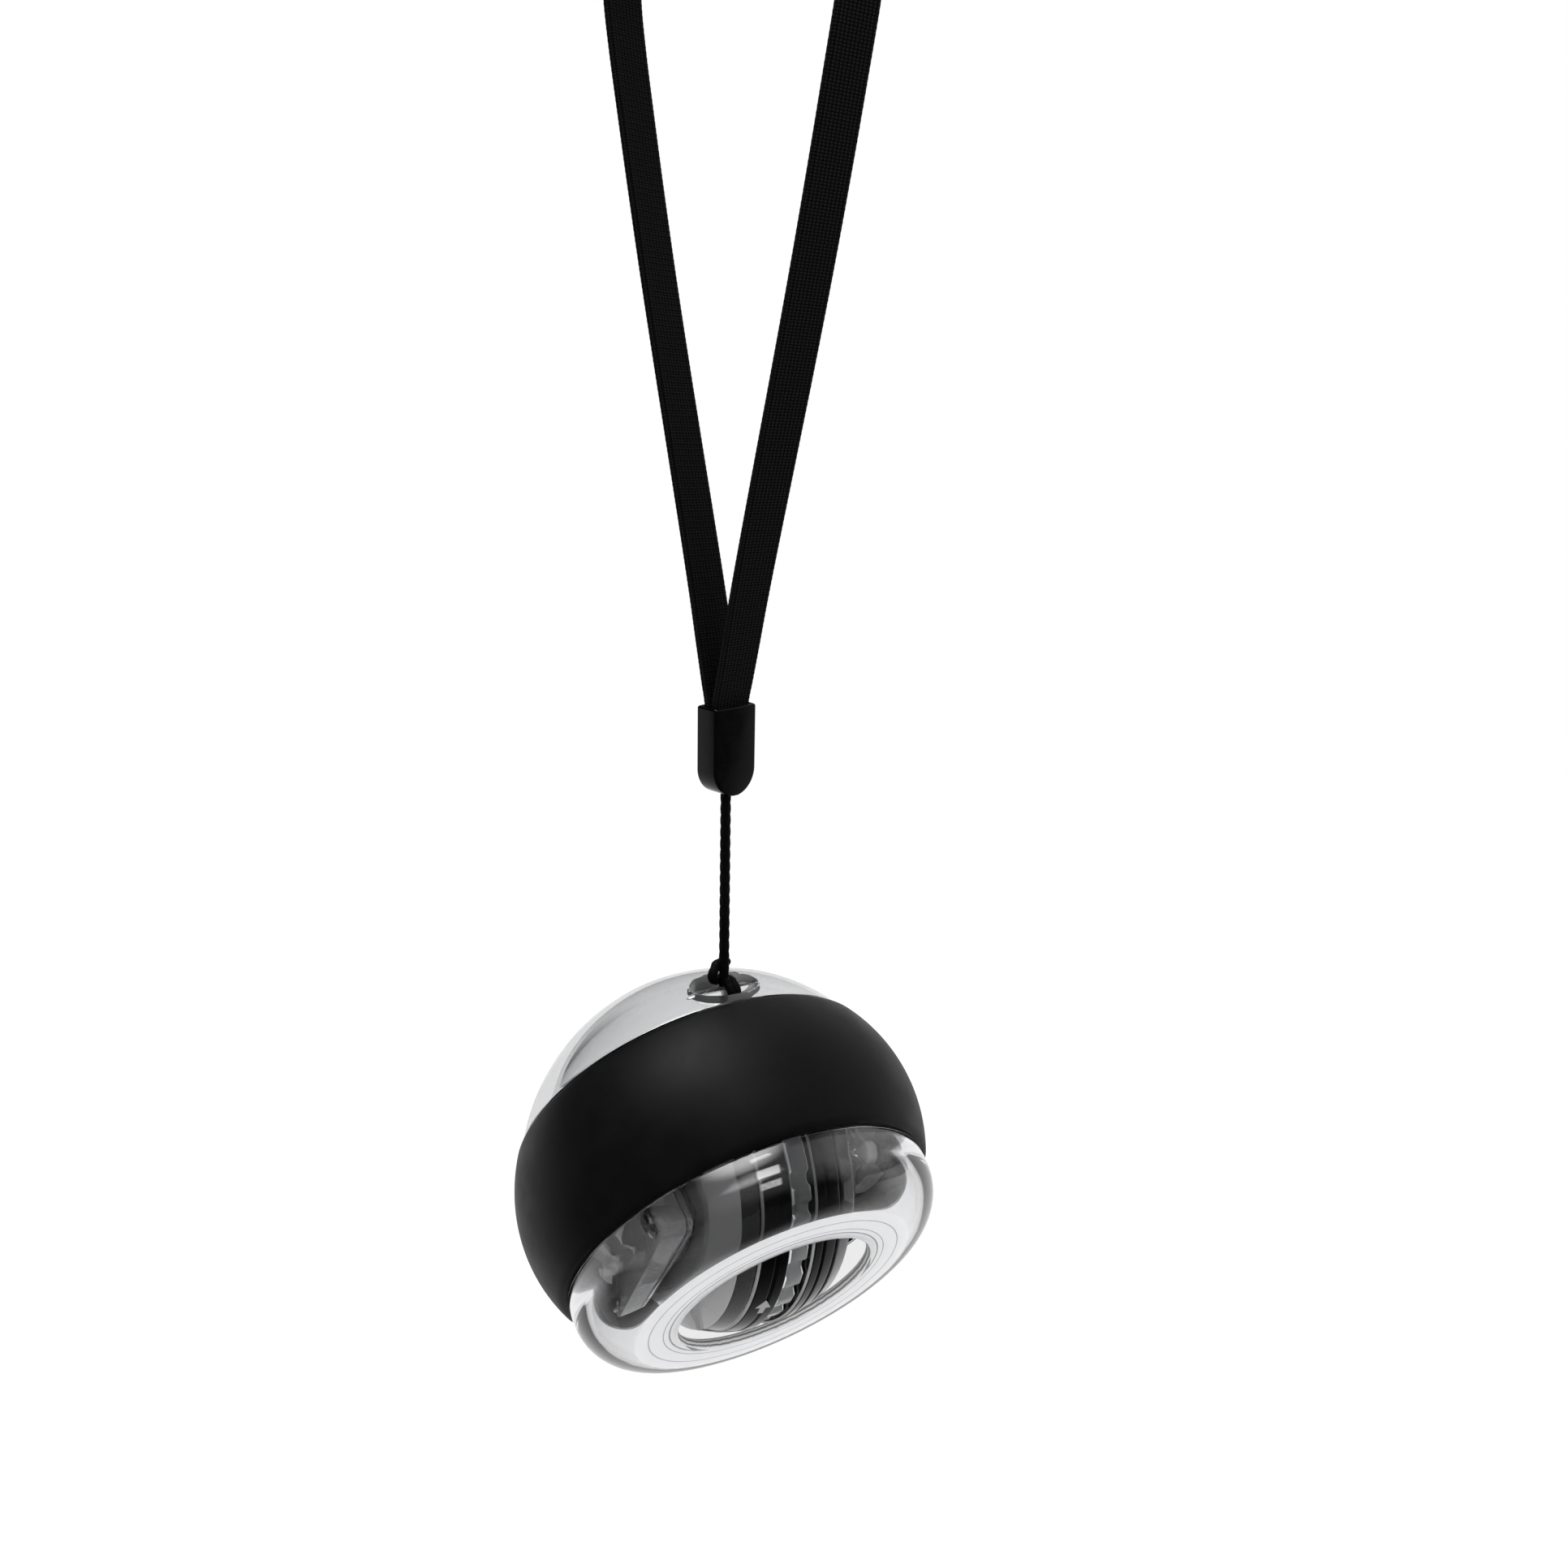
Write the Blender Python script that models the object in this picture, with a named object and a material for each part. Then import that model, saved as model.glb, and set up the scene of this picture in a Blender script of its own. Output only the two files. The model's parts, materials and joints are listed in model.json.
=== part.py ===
"""Gyroscopic wrist ball: a clear two-part shell with a rubber grip band, a rotor in a
gimbal ring that runs in the shell's track, a wind-up starter, and the wrist strap
that it hangs from.

Metres, +Z up, as the ball hangs. The origin is the underside of the strap loop's top,
where the wrist carries it. Shell and ring sizes are given along the ball's own axis,
which points from the dome to the thumb opening and is 0 at the track. Rotor and
starter sizes are given along the spin axis, which is 0 at the middle of the rotor.
"""

import math

import bmesh
import bpy
from mathutils import Matrix, Vector

# Fits
CLEAR = 0.0003  # between pieces that touch
RUN = 0.0005  # between pieces that pass each other

# How the ball hangs
HEADING = math.radians(29.0)  # the opening's heading, from -Y towards +X
BALANCE = -0.00045  # centre of mass of the ball along its axis, towards the opening
EYE_ANGLE = math.radians(56.39)  # lanyard eye, from the dome's pole
AXLE_TURN = math.radians(-4.3)  # of the ring in the track, from where the axle is level

# Strap, end cap and cord
STRAP_WIDTH = 0.0065
STRAP_THICKNESS = 0.0013
STRAP_CORNER = 0.0003
STRAP_SEAT = 0.0022  # of the strap inside the cap
STRAP_TURN = math.radians(44.0)  # of the cap's and the strap's faces, from -Y towards +X
STRAP_TWIST = math.radians(7.0)  # more and less than that halfway up the two sides
CAP_SIDE_WALL = 0.0005
CAP_FACE_WALL = 0.00095
CAP_CORNER = 0.0019
CAP_LENGTH = 0.0138
CAP_ROUND = 0.0034  # of the cap's lower end
CORD_RADIUS = 0.0006
CORD_LENGTH = 0.0313
CORD_SEAT = 0.0025  # of the cord inside the cap
HITCH_TURNS = 2
HITCH_GAP = 0.0005  # between the turns

# Half of the strap's route, from the cap up towards the middle of the loop's top:
# (distance from the middle, height). The other half is its mirror image.
LAYER = STRAP_THICKNESS / 2 + CLEAR / 2  # where the two ends lie back to back
STRAP_ROUTE = [
    (LAYER, -0.1164),
    (LAYER, -0.1138),
    (0.0016, -0.1105),
    (0.0029, -0.1050),
    (0.0044, -0.0985),
    (0.0064, -0.0905),
    (0.0095, -0.0785),
    (0.0126, -0.0665),
    (0.0156, -0.0545),
    (0.0184, -0.0425),
    (0.0206, -0.0325),
    (0.0224, -0.0240),
    (0.0235, -0.0170),
    (0.0233, -0.0115),
    (0.0211, -0.0068),
    (0.0170, -0.0033),
    (0.0115, -0.0009),
    (0.0057, 0.0003),
]
STRAP_TOP = 0.00065  # height of the strap's middle at the top of the loop

# Shells and grip band
BALL_RADIUS = 0.0330  # over the band, at the track
BAND_CROWN = 0.0253  # radius of the band's outer curve
BAND_SEAT_CROWN = 0.0302  # radius of the curve that it sits on
BAND_THICKNESS = 0.0017
BAND_TO_DOME = 0.0118  # from the track to the band's edge on the dome
BAND_TO_RIM = 0.0113  # and to its edge on the opening's side
BAND_ROUND = 0.0004
DOME_STEP = 0.0005  # the dome's surface below the band's edge
RIM_STEP = 0.0009  # the opening shell's surface below the band's edge
DOME_WALL = 0.0024
RIM_WALL = 0.0022
LIP_FLAT = 0.0051  # between the lip's round edge and the shell's outer corner
LIP_WALL = 0.0016
LIP_ROUND = 0.0008
LIP_GAP = 0.0011  # between the rotor and the lip's lower edge
OPENING_RADIUS = 0.0155
TRACK_WALL = 0.0015
TRACK_DEPTH = 0.0015
TRACK_PLAY = 0.0006
RAIL_WIDTH = 0.0018

# Lanyard eye in the dome
EYE_LENGTH = 0.0110
EYE_ROOM = 0.0018  # between the hitch and the slot's long sides
EYE_BAR_RADIUS = 0.0011
EYE_BAR_DEPTH = 0.0019  # of the bar's middle below the dome's surface

# Gimbal ring
RING_WALL = 0.0025
RING_HALF = 0.0026
RING_CHAMFER = 0.0004
BUSH_BORE_WALL = 0.0008
BUSH_SEAT = 0.0012  # of the bush inside the ring's inner face

# Rotor
ROTOR_DROP = 0.0006  # from the ring's inner face to the rotor's round surface
WEIGHT_ANGLE = math.radians(15.9)  # from the rotor's middle to a weight's outer edge
AXLE_RADIUS = 0.0011
AXLE_TIP_RADIUS = 0.0009
CORE_RADIUS = 0.0067
GROOVE_HALF = 0.0016
GROOVE_DROP = 0.0008
GROOVE_NOTCHES = 30
NOTCH_DEPTH = 0.0009
FLANK_EDGE = 0.0031  # from the flank's outer end back to the edge of its round surface
FLANK_BEVEL = 0.0040  # drop from that edge to the outer end
FLANK_RIM = 0.0021
FLANK_DISH = 0.0011
FLANK_HUB = 0.0028
SCORE_DEPTH = 0.0003
SCORE_PLACE = 0.44  # share of the weight's width
WEIGHT_CHAMFER = 0.0004
COLLAR_RADIUS = 0.0059

# Starter, stacked along the spin axis from the ring inwards
YOKE_HALF_WIDTH = 0.0055
YOKE_HALF_HEIGHT = 0.0085
HOUSING_FLOOR = 0.0010
HOUSING_WALL = 0.0015
HOUSING_INSET = 0.0009
HOUSING_ANGLE = math.radians(35.659)  # from the spin axis to the housing's outer edge
HOUSING_CORNER = 0.0022
SPRING_WIDTH = 0.0022
SPRING_THICKNESS = 0.00025
SPRING_TURNS = 6
COVER_THICKNESS = 0.0008
PAWL_THICKNESS = 0.0007
HUB_DISC = 0.0007
ARBOR_RADIUS = 0.0026
RATCHET_TEETH = 12
RATCHET_DEPTH = 0.0010
RATCHET_WALL = 0.0017
RATCHET_RAKE = math.radians(2.5)
PAWLS = 3
PAWL_PIVOT = 0.0070
PAWL_LENGTH = 0.0045
PAWL_HEAD = 0.0012
PAWL_TIP = 0.00025
PAWL_LIFTED = math.radians(94.0)  # from the radius through the pivot, clear of the teeth
PAWL_BITE = 0.0005  # of an engaged pawl's tip past the points of the teeth
PEG_RADIUS = 0.00045
SCREW_RADIUS = 0.0007
SCREW_HEAD = 0.0013
SCREW_HEAD_HEIGHT = 0.0007
SCREW_INSET = 0.0022
BEARING_HALF_WIDTH = 0.0045
BEARING_HALF_HEIGHT = 0.0062
BEARING_DEPTH = 0.0026

# Facets
SHELL_STEPS = 40
ROTOR_STEPS = 36
SMALL_STEPS = 20
BORE_STEPS = 24
SHARP = math.radians(32.0)


def crown(height):
    """Radius of the band's outer surface at a height along the ball's axis."""
    return BALL_RADIUS - BAND_CROWN + math.sqrt(BAND_CROWN**2 - height**2)


def band_bore(height):
    """Radius of the band's inner surface at a height along the ball's axis."""
    middle = BALL_RADIUS - BAND_THICKNESS - BAND_SEAT_CROWN
    return middle + math.sqrt(BAND_SEAT_CROWN**2 - height**2)


def seat(height):
    """Radius of the shells where the band sits on them."""
    return band_bore(height) - CLEAR


# Cap round the strap's two layers
CAP_WIDTH = STRAP_WIDTH + 2 * (CLEAR + CAP_SIDE_WALL)
CAP_DEPTH = 2 * (LAYER + STRAP_THICKNESS / 2 + CLEAR + CAP_FACE_WALL)

# Shells, from the band inwards
DOME_RADIUS = math.hypot(crown(BAND_TO_DOME) - DOME_STEP, BAND_TO_DOME)
DOME_INNER = DOME_RADIUS - DOME_WALL
RIM_RADIUS = crown(BAND_TO_RIM) - RIM_STEP
RIM_INNER = RIM_RADIUS - RIM_WALL
TRACK_HALF = AXLE_TIP_RADIUS + TRACK_PLAY
TRACK_RADIUS = seat(0) - TRACK_WALL
RAIL_RADIUS = TRACK_RADIUS - TRACK_DEPTH
EYE_BAR = DOME_RADIUS - EYE_BAR_DEPTH
HITCH_RADIUS = EYE_BAR_RADIUS + CLEAR + CORD_RADIUS
EYE_WIDTH = 2 * (HITCH_RADIUS + CORD_RADIUS + EYE_ROOM)

# Ring and what it carries, from the track inwards
SWEEP_RADIUS = RIM_INNER - RUN  # all that turns with the ring stays inside this
RING_RADIUS = RAIL_RADIUS - RUN
RING_INNER = RING_RADIUS - RING_WALL
AXLE_HALF = TRACK_RADIUS - CLEAR
BORE_RADIUS = AXLE_RADIUS + CLEAR
BUSH_RADIUS = BORE_RADIUS + BUSH_BORE_WALL

# Rotor, from its middle outwards
ROTOR_RADIUS = RING_INNER - ROTOR_DROP
WEIGHT_START = GROOVE_HALF + CLEAR
WEIGHT_END = ROTOR_RADIUS * math.sin(WEIGHT_ANGLE)

# Lip of the opening, clear of the rotor, which stands out of it
LIP_UNDER = math.sqrt((ROTOR_RADIUS + LIP_GAP) ** 2 - OPENING_RADIUS**2)
RIM_HEIGHT = LIP_UNDER + LIP_WALL

# Stations along the spin axis, from the ring inwards
HOUSING_END = (RING_INNER - CLEAR) * math.cos(HOUSING_ANGLE)
CAVITY_END = HOUSING_END - HOUSING_FLOOR
SPRING_END = CAVITY_END - CLEAR
SPRING_START = SPRING_END - SPRING_WIDTH
HOUSING_START = SPRING_START - CLEAR
COVER_END = HOUSING_START - CLEAR
COVER_START = COVER_END - COVER_THICKNESS
PAWL_END = COVER_START - CLEAR
PAWL_START = PAWL_END - PAWL_THICKNESS
DISC_END = PAWL_START - CLEAR
DISC_START = DISC_END - HUB_DISC
FLANK_END = DISC_START - RUN
FLANK_START = WEIGHT_END + CLEAR
RATCHET_START = FLANK_END - FLANK_DISH + CLEAR

# Radii about the spin axis
HOUSING_HALF = (RING_INNER - CLEAR) * math.sin(HOUSING_ANGLE) - HOUSING_INSET
CAVITY_RADIUS = HOUSING_HALF - HOUSING_WALL
SCREW_PLACE = HOUSING_HALF - SCREW_INSET

# Heights of the chain that carries the ball
CAP_TOP = STRAP_ROUTE[0][1] + STRAP_SEAT
CAP_BOTTOM = CAP_TOP - CAP_LENGTH
CORD_START = CAP_BOTTOM + CORD_SEAT
CORD_END = CORD_START - CORD_LENGTH
BAR_HEIGHT = CORD_END - CLEAR - CORD_RADIUS - HITCH_RADIUS


def clear_scene():
    for obj in list(bpy.data.objects):
        bpy.data.objects.remove(obj, do_unlink=True)


def principled(name, colour, roughness, metallic=0.0, transmission=0.0):
    """A plain material in the part's own colour."""
    material = bpy.data.materials.new(name)
    material.use_nodes = True
    shader = material.node_tree.nodes["Principled BSDF"]
    shader.inputs["Base Color"].default_value = (*colour, 1.0)
    shader.inputs["Roughness"].default_value = roughness
    shader.inputs["Metallic"].default_value = metallic
    shader.inputs["Transmission Weight"].default_value = transmission
    material.diffuse_color = (*colour, 1.0 - 0.6 * transmission)
    return material


def empty(name, parent=None, location=(0, 0, 0), rotation=(0, 0, 0)):
    """A frame that pieces hang on, set on a joint's axis."""
    frame = bpy.data.objects.new(name, None)
    frame.empty_display_size = 0.01
    bpy.context.scene.collection.objects.link(frame)
    frame.parent = parent
    frame.location = location
    frame.rotation_euler = rotation
    return frame


def placed(name, mesh, material, parent):
    """An object of this mesh, shaded smooth apart from its sharp edges."""
    if isinstance(mesh, bpy.types.Mesh):
        mesh.shade_smooth()
        mesh.set_sharp_from_angle(angle=SHARP)
    piece = bpy.data.objects.new(name, mesh)
    bpy.context.scene.collection.objects.link(piece)
    piece.parent = parent
    if material and not mesh.materials:
        mesh.materials.append(material)
    return piece


def closed_mesh(name, bm):
    """The finished mesh of a bmesh whose faces enclose it."""
    bmesh.ops.remove_doubles(bm, verts=bm.verts[:], dist=1e-7)
    bmesh.ops.recalc_face_normals(bm, faces=bm.faces[:])
    mesh = bpy.data.meshes.new(name)
    bm.to_mesh(mesh)
    bm.free()
    return mesh


def arc(centre, radius, start, end, steps):
    """Points on an arc, with its angles in degrees and both ends included."""
    angles = [math.radians(start + (end - start) * i / steps) for i in range(steps + 1)]
    return [(centre[0] + radius * math.cos(a), centre[1] + radius * math.sin(a)) for a in angles]


def spread(first, last, steps):
    """Even values from first to last, both included."""
    return [first + (last - first) * i / steps for i in range(steps + 1)]


def turned(name, outline, steps, material, parent):
    """An outline of (radius, height) points spun about Z.

    The outline is closed, unless its two ends lie on the axis."""
    bm = bmesh.new()
    points = [bm.verts.new((radius, 0, height)) for radius, height in outline]
    following = points[1:]
    if outline[0][0] > 0 or outline[-1][0] > 0:
        following = following + points[:1]
    for first, second in zip(points, following):
        bm.edges.new((first, second))
    bmesh.ops.spin(
        bm,
        geom=bm.verts[:] + bm.edges[:],
        axis=(0, 0, 1),
        cent=(0, 0, 0),
        angle=2 * math.pi,
        steps=steps,
        use_merge=True,
    )
    return placed(name, closed_mesh(name, bm), material, parent)


def lofted(name, rings, material, parent):
    """Rings of as many points each, joined in order and capped at both ends."""
    bm = bmesh.new()
    loops = [[bm.verts.new(point) for point in ring] for ring in rings]
    for low, high in zip(loops, loops[1:]):
        for i in range(len(low)):
            j = (i + 1) % len(low)
            bm.faces.new((low[i], low[j], high[j], high[i]))
    bm.faces.new(loops[0][::-1])
    bm.faces.new(loops[-1])
    return placed(name, closed_mesh(name, bm), material, parent)


def prism(name, outline, low, high, material, parent):
    """A flat outline given a thickness."""
    rings = [[(x, y, z) for x, y in outline] for z in (low, high)]
    return lofted(name, rings, material, parent)


def walled(name, inner, outer, low, high, material, parent):
    """A ring of even thickness between two flat outlines of as many points each."""
    bm = bmesh.new()
    stations = ((outer, low), (outer, high), (inner, high), (inner, low))
    loops = [[bm.verts.new((x, y, z)) for x, y in line] for line, z in stations]
    for k, loop in enumerate(loops):
        beside = loops[(k + 1) % len(loops)]
        for i in range(len(loop)):
            j = (i + 1) % len(loop)
            bm.faces.new((loop[i], loop[j], beside[j], beside[i]))
    return placed(name, closed_mesh(name, bm), material, parent)


def polar(radius, angle):
    return (radius * math.cos(angle), radius * math.sin(angle))


def rounded_square(half, corner, steps=3):
    """The outline of a square with rounded corners."""
    middle = half - corner
    outline = []
    for turn, x, y in ((0, 1, 1), (90, -1, 1), (180, -1, -1), (270, 1, -1)):
        outline += arc((x * middle, y * middle), corner, turn, turn + 90, steps)
    return outline


def block(name, low, high, material, parent):
    """A box between two opposite corners."""
    outline = [(low[0], low[1]), (high[0], low[1]), (high[0], high[1]), (low[0], high[1])]
    return prism(name, outline, low[2], high[2], material, parent)


def helper(piece):
    """Marks a piece as a cutter or a filler that another piece takes its shape from."""
    piece.hide_render = True
    piece.display_type = "WIRE"
    return piece


def shaped(piece, operation, other):
    """Cuts, joins or limits a piece by a helper."""
    modifier = piece.modifiers.new(f"{operation.lower()}_{other.name}", "BOOLEAN")
    modifier.operation = operation
    modifier.object = helper(other)
    return piece


def drilled(piece, radius, low, high, at=(0, 0), steps=BORE_STEPS):
    """Drills a hole along the piece's frame's Z, from low to high."""
    outline = [(0, low), (radius, low), (radius, high), (0, high)]
    drill = turned(f"{piece.name}_drill", outline, steps, None, piece.parent)
    drill.location = (*at, 0)
    return shaped(piece, "DIFFERENCE", drill)


def tube(name, points, radius, material, parent):
    """A cord through these points, with closed ends."""
    curve = bpy.data.curves.new(name, "CURVE")
    curve.dimensions = "3D"
    curve.bevel_depth = radius
    curve.bevel_resolution = 2
    curve.use_fill_caps = True
    spline = curve.splines.new("POLY")
    spline.points.add(len(points) - 1)
    for point, place in zip(spline.points, points):
        point.co = (*place, 1)
    return placed(name, curve, material, parent)


def smooth_through(points, between):
    """A smooth curve through the points, with a few more between each two."""
    ends = [points[0] * 2 - points[1], *points, points[-1] * 2 - points[-2]]
    curve = []
    for before, start, end, after in zip(ends, ends[1:], ends[2:], ends[3:]):
        for i in range(between):
            t = i / between
            slope_in = (end - before) * 0.5
            slope_out = (after - start) * 0.5
            curve.append(
                start * (2 * t**3 - 3 * t**2 + 1)
                + slope_in * (t**3 - 2 * t**2 + t)
                + end * (3 * t**2 - 2 * t**3)
                + slope_out * (t**3 - t**2)
            )
    return [*curve, points[-1]]


def strap_path():
    """The middle of the strap, from the cap round the loop and back, with its width's direction."""
    route = [*STRAP_ROUTE, (0.0, STRAP_TOP)]
    route += [(-across, height) for across, height in reversed(STRAP_ROUTE)]
    flat = smooth_through([Vector((across, 0, height)) for across, height in route], 2)
    facing = Vector((math.sin(STRAP_TURN), -math.cos(STRAP_TURN), 0))
    places = [facing * p.x + Vector((0, 0, p.z)) for p in flat]
    along = [0.0]
    for first, second in zip(places, places[1:]):
        along.append(along[-1] + (second - first).length)
    widths = []
    for length in along:
        turn = STRAP_TURN - STRAP_TWIST * math.sin(2 * math.pi * length / along[-1])
        widths.append(Vector((math.cos(turn), math.sin(turn), 0)))
    return places, widths


def make_strap(material):
    """The woven strap: one flat band, looped, with both ends in the cap."""
    places, widths = strap_path()
    rings = []
    for i, (place, width) in enumerate(zip(places, widths)):
        along = (places[min(i + 1, len(places) - 1)] - places[max(i - 1, 0)]).normalized()
        width = (width - along * width.dot(along)).normalized()
        through = along.cross(width)
        half_width = STRAP_WIDTH / 2
        half_depth = STRAP_THICKNESS / 2
        ring = []
        for x, y in ((1, 1), (-1, 1), (-1, -1), (1, -1)):
            wide = width * x * half_width + through * y * (half_depth - STRAP_CORNER)
            deep = width * x * (half_width - STRAP_CORNER) + through * y * half_depth
            ring += [place + wide, place + deep] if x == y else [place + deep, place + wide]
        rings.append(ring)
    return lofted("wrist_strap", rings, material, None)


def make_cap(material):
    """The moulded end cap: flat above with a slot for the strap, round below."""
    def section(height, inset):
        half_width = CAP_WIDTH / 2 - inset
        half_depth = CAP_DEPTH / 2 - inset
        corner = min(CAP_CORNER, 0.9 * half_depth)
        outline = []
        for turn, x, y in ((0, 1, 1), (90, -1, 1), (180, -1, -1), (270, 1, -1)):
            middle = (x * (half_width - corner), y * (half_depth - corner))
            outline += arc(middle, corner, turn, turn + 90, 4)
        return [(x, y, height) for x, y in outline]

    reach = 0.9 * min(CAP_ROUND, CAP_DEPTH / 2)
    rings = []
    for angle in spread(math.radians(15), math.radians(90), 5):
        height = CAP_BOTTOM + CAP_ROUND * (math.cos(math.radians(15)) - math.cos(angle))
        rings.append(section(height, reach * (1 - math.sin(angle))))
    top_round = STRAP_CORNER * 2
    rings.append(section(CAP_TOP - top_round, 0))
    rings.append(section(CAP_TOP, top_round))
    frame = empty("cap_frame", rotation=(0, 0, STRAP_TURN))
    cap = lofted("strap_cap", rings, material, frame)
    corner = Vector((STRAP_WIDTH / 2 + CLEAR, LAYER + STRAP_THICKNESS / 2 + CLEAR, CAP_TOP + RUN))
    opposite = Vector((-corner.x, -corner.y, CAP_TOP - STRAP_SEAT - CLEAR))
    slot = block("cap_slot", opposite, corner, None, frame)
    shaped(cap, "DIFFERENCE", slot)
    low = CAP_BOTTOM - RUN
    return drilled(cap, CORD_RADIUS + CLEAR, low, CORD_START + CLEAR, steps=16)


def make_cord(material, pivot):
    """The taut cord between the cap and the hitch."""
    heights = spread(CORD_START, CORD_END, 12)
    places = [(0, 0, height - CAP_BOTTOM) for height in heights]
    return tube("lanyard_cord", places, CORD_RADIUS, material, pivot)


def make_hitch(material, pivot):
    """The cord's turns round the eye's bar, wound about the bar's axis."""
    per_turn = 14
    steps = HITCH_TURNS * per_turn
    pitch = 2 * CORD_RADIUS + HITCH_GAP
    places = []
    for i in range(steps + 1):
        angle = math.pi / 2 + 2 * math.pi * i / per_turn
        across = pitch * (i / per_turn - HITCH_TURNS / 2)
        places.append((across, HITCH_RADIUS * math.cos(angle), HITCH_RADIUS * math.sin(angle)))
    turns = [math.dist(a, b) for a, b in zip(places, places[per_turn:])]
    print(f"cord_hitch: least gap to itself {(min(turns) - 2 * CORD_RADIUS) * 1000:.2f} mm")
    hitch = tube("cord_hitch", places, CORD_RADIUS, material, pivot)
    hitch.rotation_euler = (0, 0, HEADING)
    return hitch


def make_dome(material, frame):
    """The dome shell, with the eye's slot cut through it and the bar left across."""
    step = -BAND_TO_DOME - CLEAR
    edge = math.degrees(math.asin(step / DOME_RADIUS))
    outer = [(0, -DOME_RADIUS), *arc((0, 0), DOME_RADIUS, -82, edge, 8)]
    band_seat = [(seat(z), z) for z in spread(step, -CLEAR / 2, 3)]
    lip = -TRACK_HALF - RAIL_WIDTH
    back = lip - RAIL_WIDTH / 2
    track = [(TRACK_RADIUS, -CLEAR / 2), (TRACK_RADIUS, -TRACK_HALF), (RAIL_RADIUS, -TRACK_HALF), (RAIL_RADIUS, lip)]
    start = math.degrees(math.asin(back / DOME_INNER))
    inner = [*arc((0, 0), DOME_INNER, start, -81, 7), (0, -DOME_INNER)]
    dome = turned("dome_shell", outer + band_seat + track + inner, SHELL_STEPS, material, frame)
    eye = eye_frame(frame)
    slot = [(EYE_LENGTH / 2 * math.cos(a), EYE_WIDTH / 2 * math.sin(a))
            for a in (2 * math.pi * i / BORE_STEPS for i in range(BORE_STEPS))]
    cutter = prism("eye_slot", slot, -DOME_WALL * 2, DOME_WALL * 2, None, eye)
    shaped(dome, "DIFFERENCE", cutter)
    reach = EYE_LENGTH / 2 + DOME_WALL / 2
    bar_outline = [(0, -reach), (EYE_BAR_RADIUS, -reach), (EYE_BAR_RADIUS, reach), (0, reach)]
    bar = turned("eye_bar", bar_outline, 16, None, eye)
    bar.rotation_euler = (0, math.pi / 2, 0)
    return shaped(dome, "UNION", bar)


def eye_frame(frame):
    """The middle of the eye's bar, with Z out of the dome and X along the bar."""
    place = (0, EYE_BAR * math.sin(EYE_ANGLE), -EYE_BAR * math.cos(EYE_ANGLE))
    return empty("eye_frame", frame, place, (-(math.pi - EYE_ANGLE), 0, 0))


def make_opening_shell(material, frame):
    """The shell round the thumb opening, with its broad flat lip."""
    shoulder = BAND_TO_RIM + CLEAR
    flat_start = OPENING_RADIUS + LIP_ROUND
    corner = RIM_RADIUS - flat_start - LIP_FLAT
    inner_corner = max(corner - RIM_WALL, LIP_ROUND)
    lip = TRACK_HALF + RAIL_WIDTH
    outline = [(seat(z), z) for z in spread(CLEAR / 2, shoulder, 3)]
    outline += [(RIM_RADIUS, shoulder)]
    outline += arc((RIM_RADIUS - corner, RIM_HEIGHT - corner), corner, 0, 90, 6)
    outline += arc((flat_start, RIM_HEIGHT - LIP_ROUND), LIP_ROUND, 90, 180, 3)
    outline += [(OPENING_RADIUS, LIP_UNDER + LIP_ROUND / 2), (OPENING_RADIUS + LIP_ROUND / 2, LIP_UNDER)]
    outline += arc((RIM_INNER - inner_corner, LIP_UNDER - inner_corner), inner_corner, 90, 0, 4)
    outline += [(RIM_INNER, lip), (RAIL_RADIUS, lip)] if RIM_INNER < RAIL_RADIUS else [(RAIL_RADIUS, lip)]
    outline += [(RAIL_RADIUS, TRACK_HALF), (TRACK_RADIUS, TRACK_HALF), (TRACK_RADIUS, CLEAR / 2)]
    return turned("opening_shell", outline, SHELL_STEPS, material, frame)


def make_band(material, frame):
    """The rubber grip band over both shells, crowned, with rounded edges."""
    low, high = -BAND_TO_DOME, BAND_TO_RIM
    outline = [(crown(z), z) for z in spread(low + BAND_ROUND, high - BAND_ROUND, 8)]
    outline += [(crown(high) - BAND_ROUND, high)]
    heights = spread(high, 0, 3) + spread(0, low, 3)[1:]
    outline += [(band_bore(z), z) for z in heights]
    outline += [(crown(low) - BAND_ROUND, low)]
    return turned("grip_band", outline, SHELL_STEPS, material, frame)


def ring_outline(gap):
    """The gimbal ring's section, grown by a gap."""
    inner, outer, half = RING_INNER - gap, RING_RADIUS + gap, RING_HALF + gap
    c = RING_CHAMFER
    return [
        (inner + c, -half), (outer - c, -half), (outer, c - half), (outer, half - c),
        (outer - c, half), (inner + c, half), (inner, half - c), (inner, c - half),
    ]


def make_ring(material, frame, spin):
    """The gimbal ring, with a hole for the bush at each end of the axle."""
    ring = turned("gimbal_ring", ring_outline(0), SHELL_STEPS, material, frame)
    for side, name in ((-1, "left"), (1, "right")):
        outline = [(0, RING_INNER - RUN), (BUSH_RADIUS + CLEAR, RING_INNER - RUN)]
        outline += [(BUSH_RADIUS + CLEAR, RING_RADIUS + RUN), (0, RING_RADIUS + RUN)]
        outline = [(r, side * z) for r, z in outline]
        hole = turned(f"ring_hole_{name}", outline, SMALL_STEPS, None, spin)
        shaped(ring, "DIFFERENCE", hole)
    return ring


def make_bushes(material, spin):
    """The two plain bearings that the axle turns in."""
    for side, name in ((-1, "left"), (1, "right")):
        low, high = RING_INNER - BUSH_SEAT, RING_RADIUS - RUN
        outline = [(BORE_RADIUS, low), (BUSH_RADIUS, low), (BUSH_RADIUS, high), (BORE_RADIUS, high)]
        outline = [(r, side * z) for r, z in outline]
        turned(f"axle_bush_{name}", outline, SMALL_STEPS, material, spin)


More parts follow.
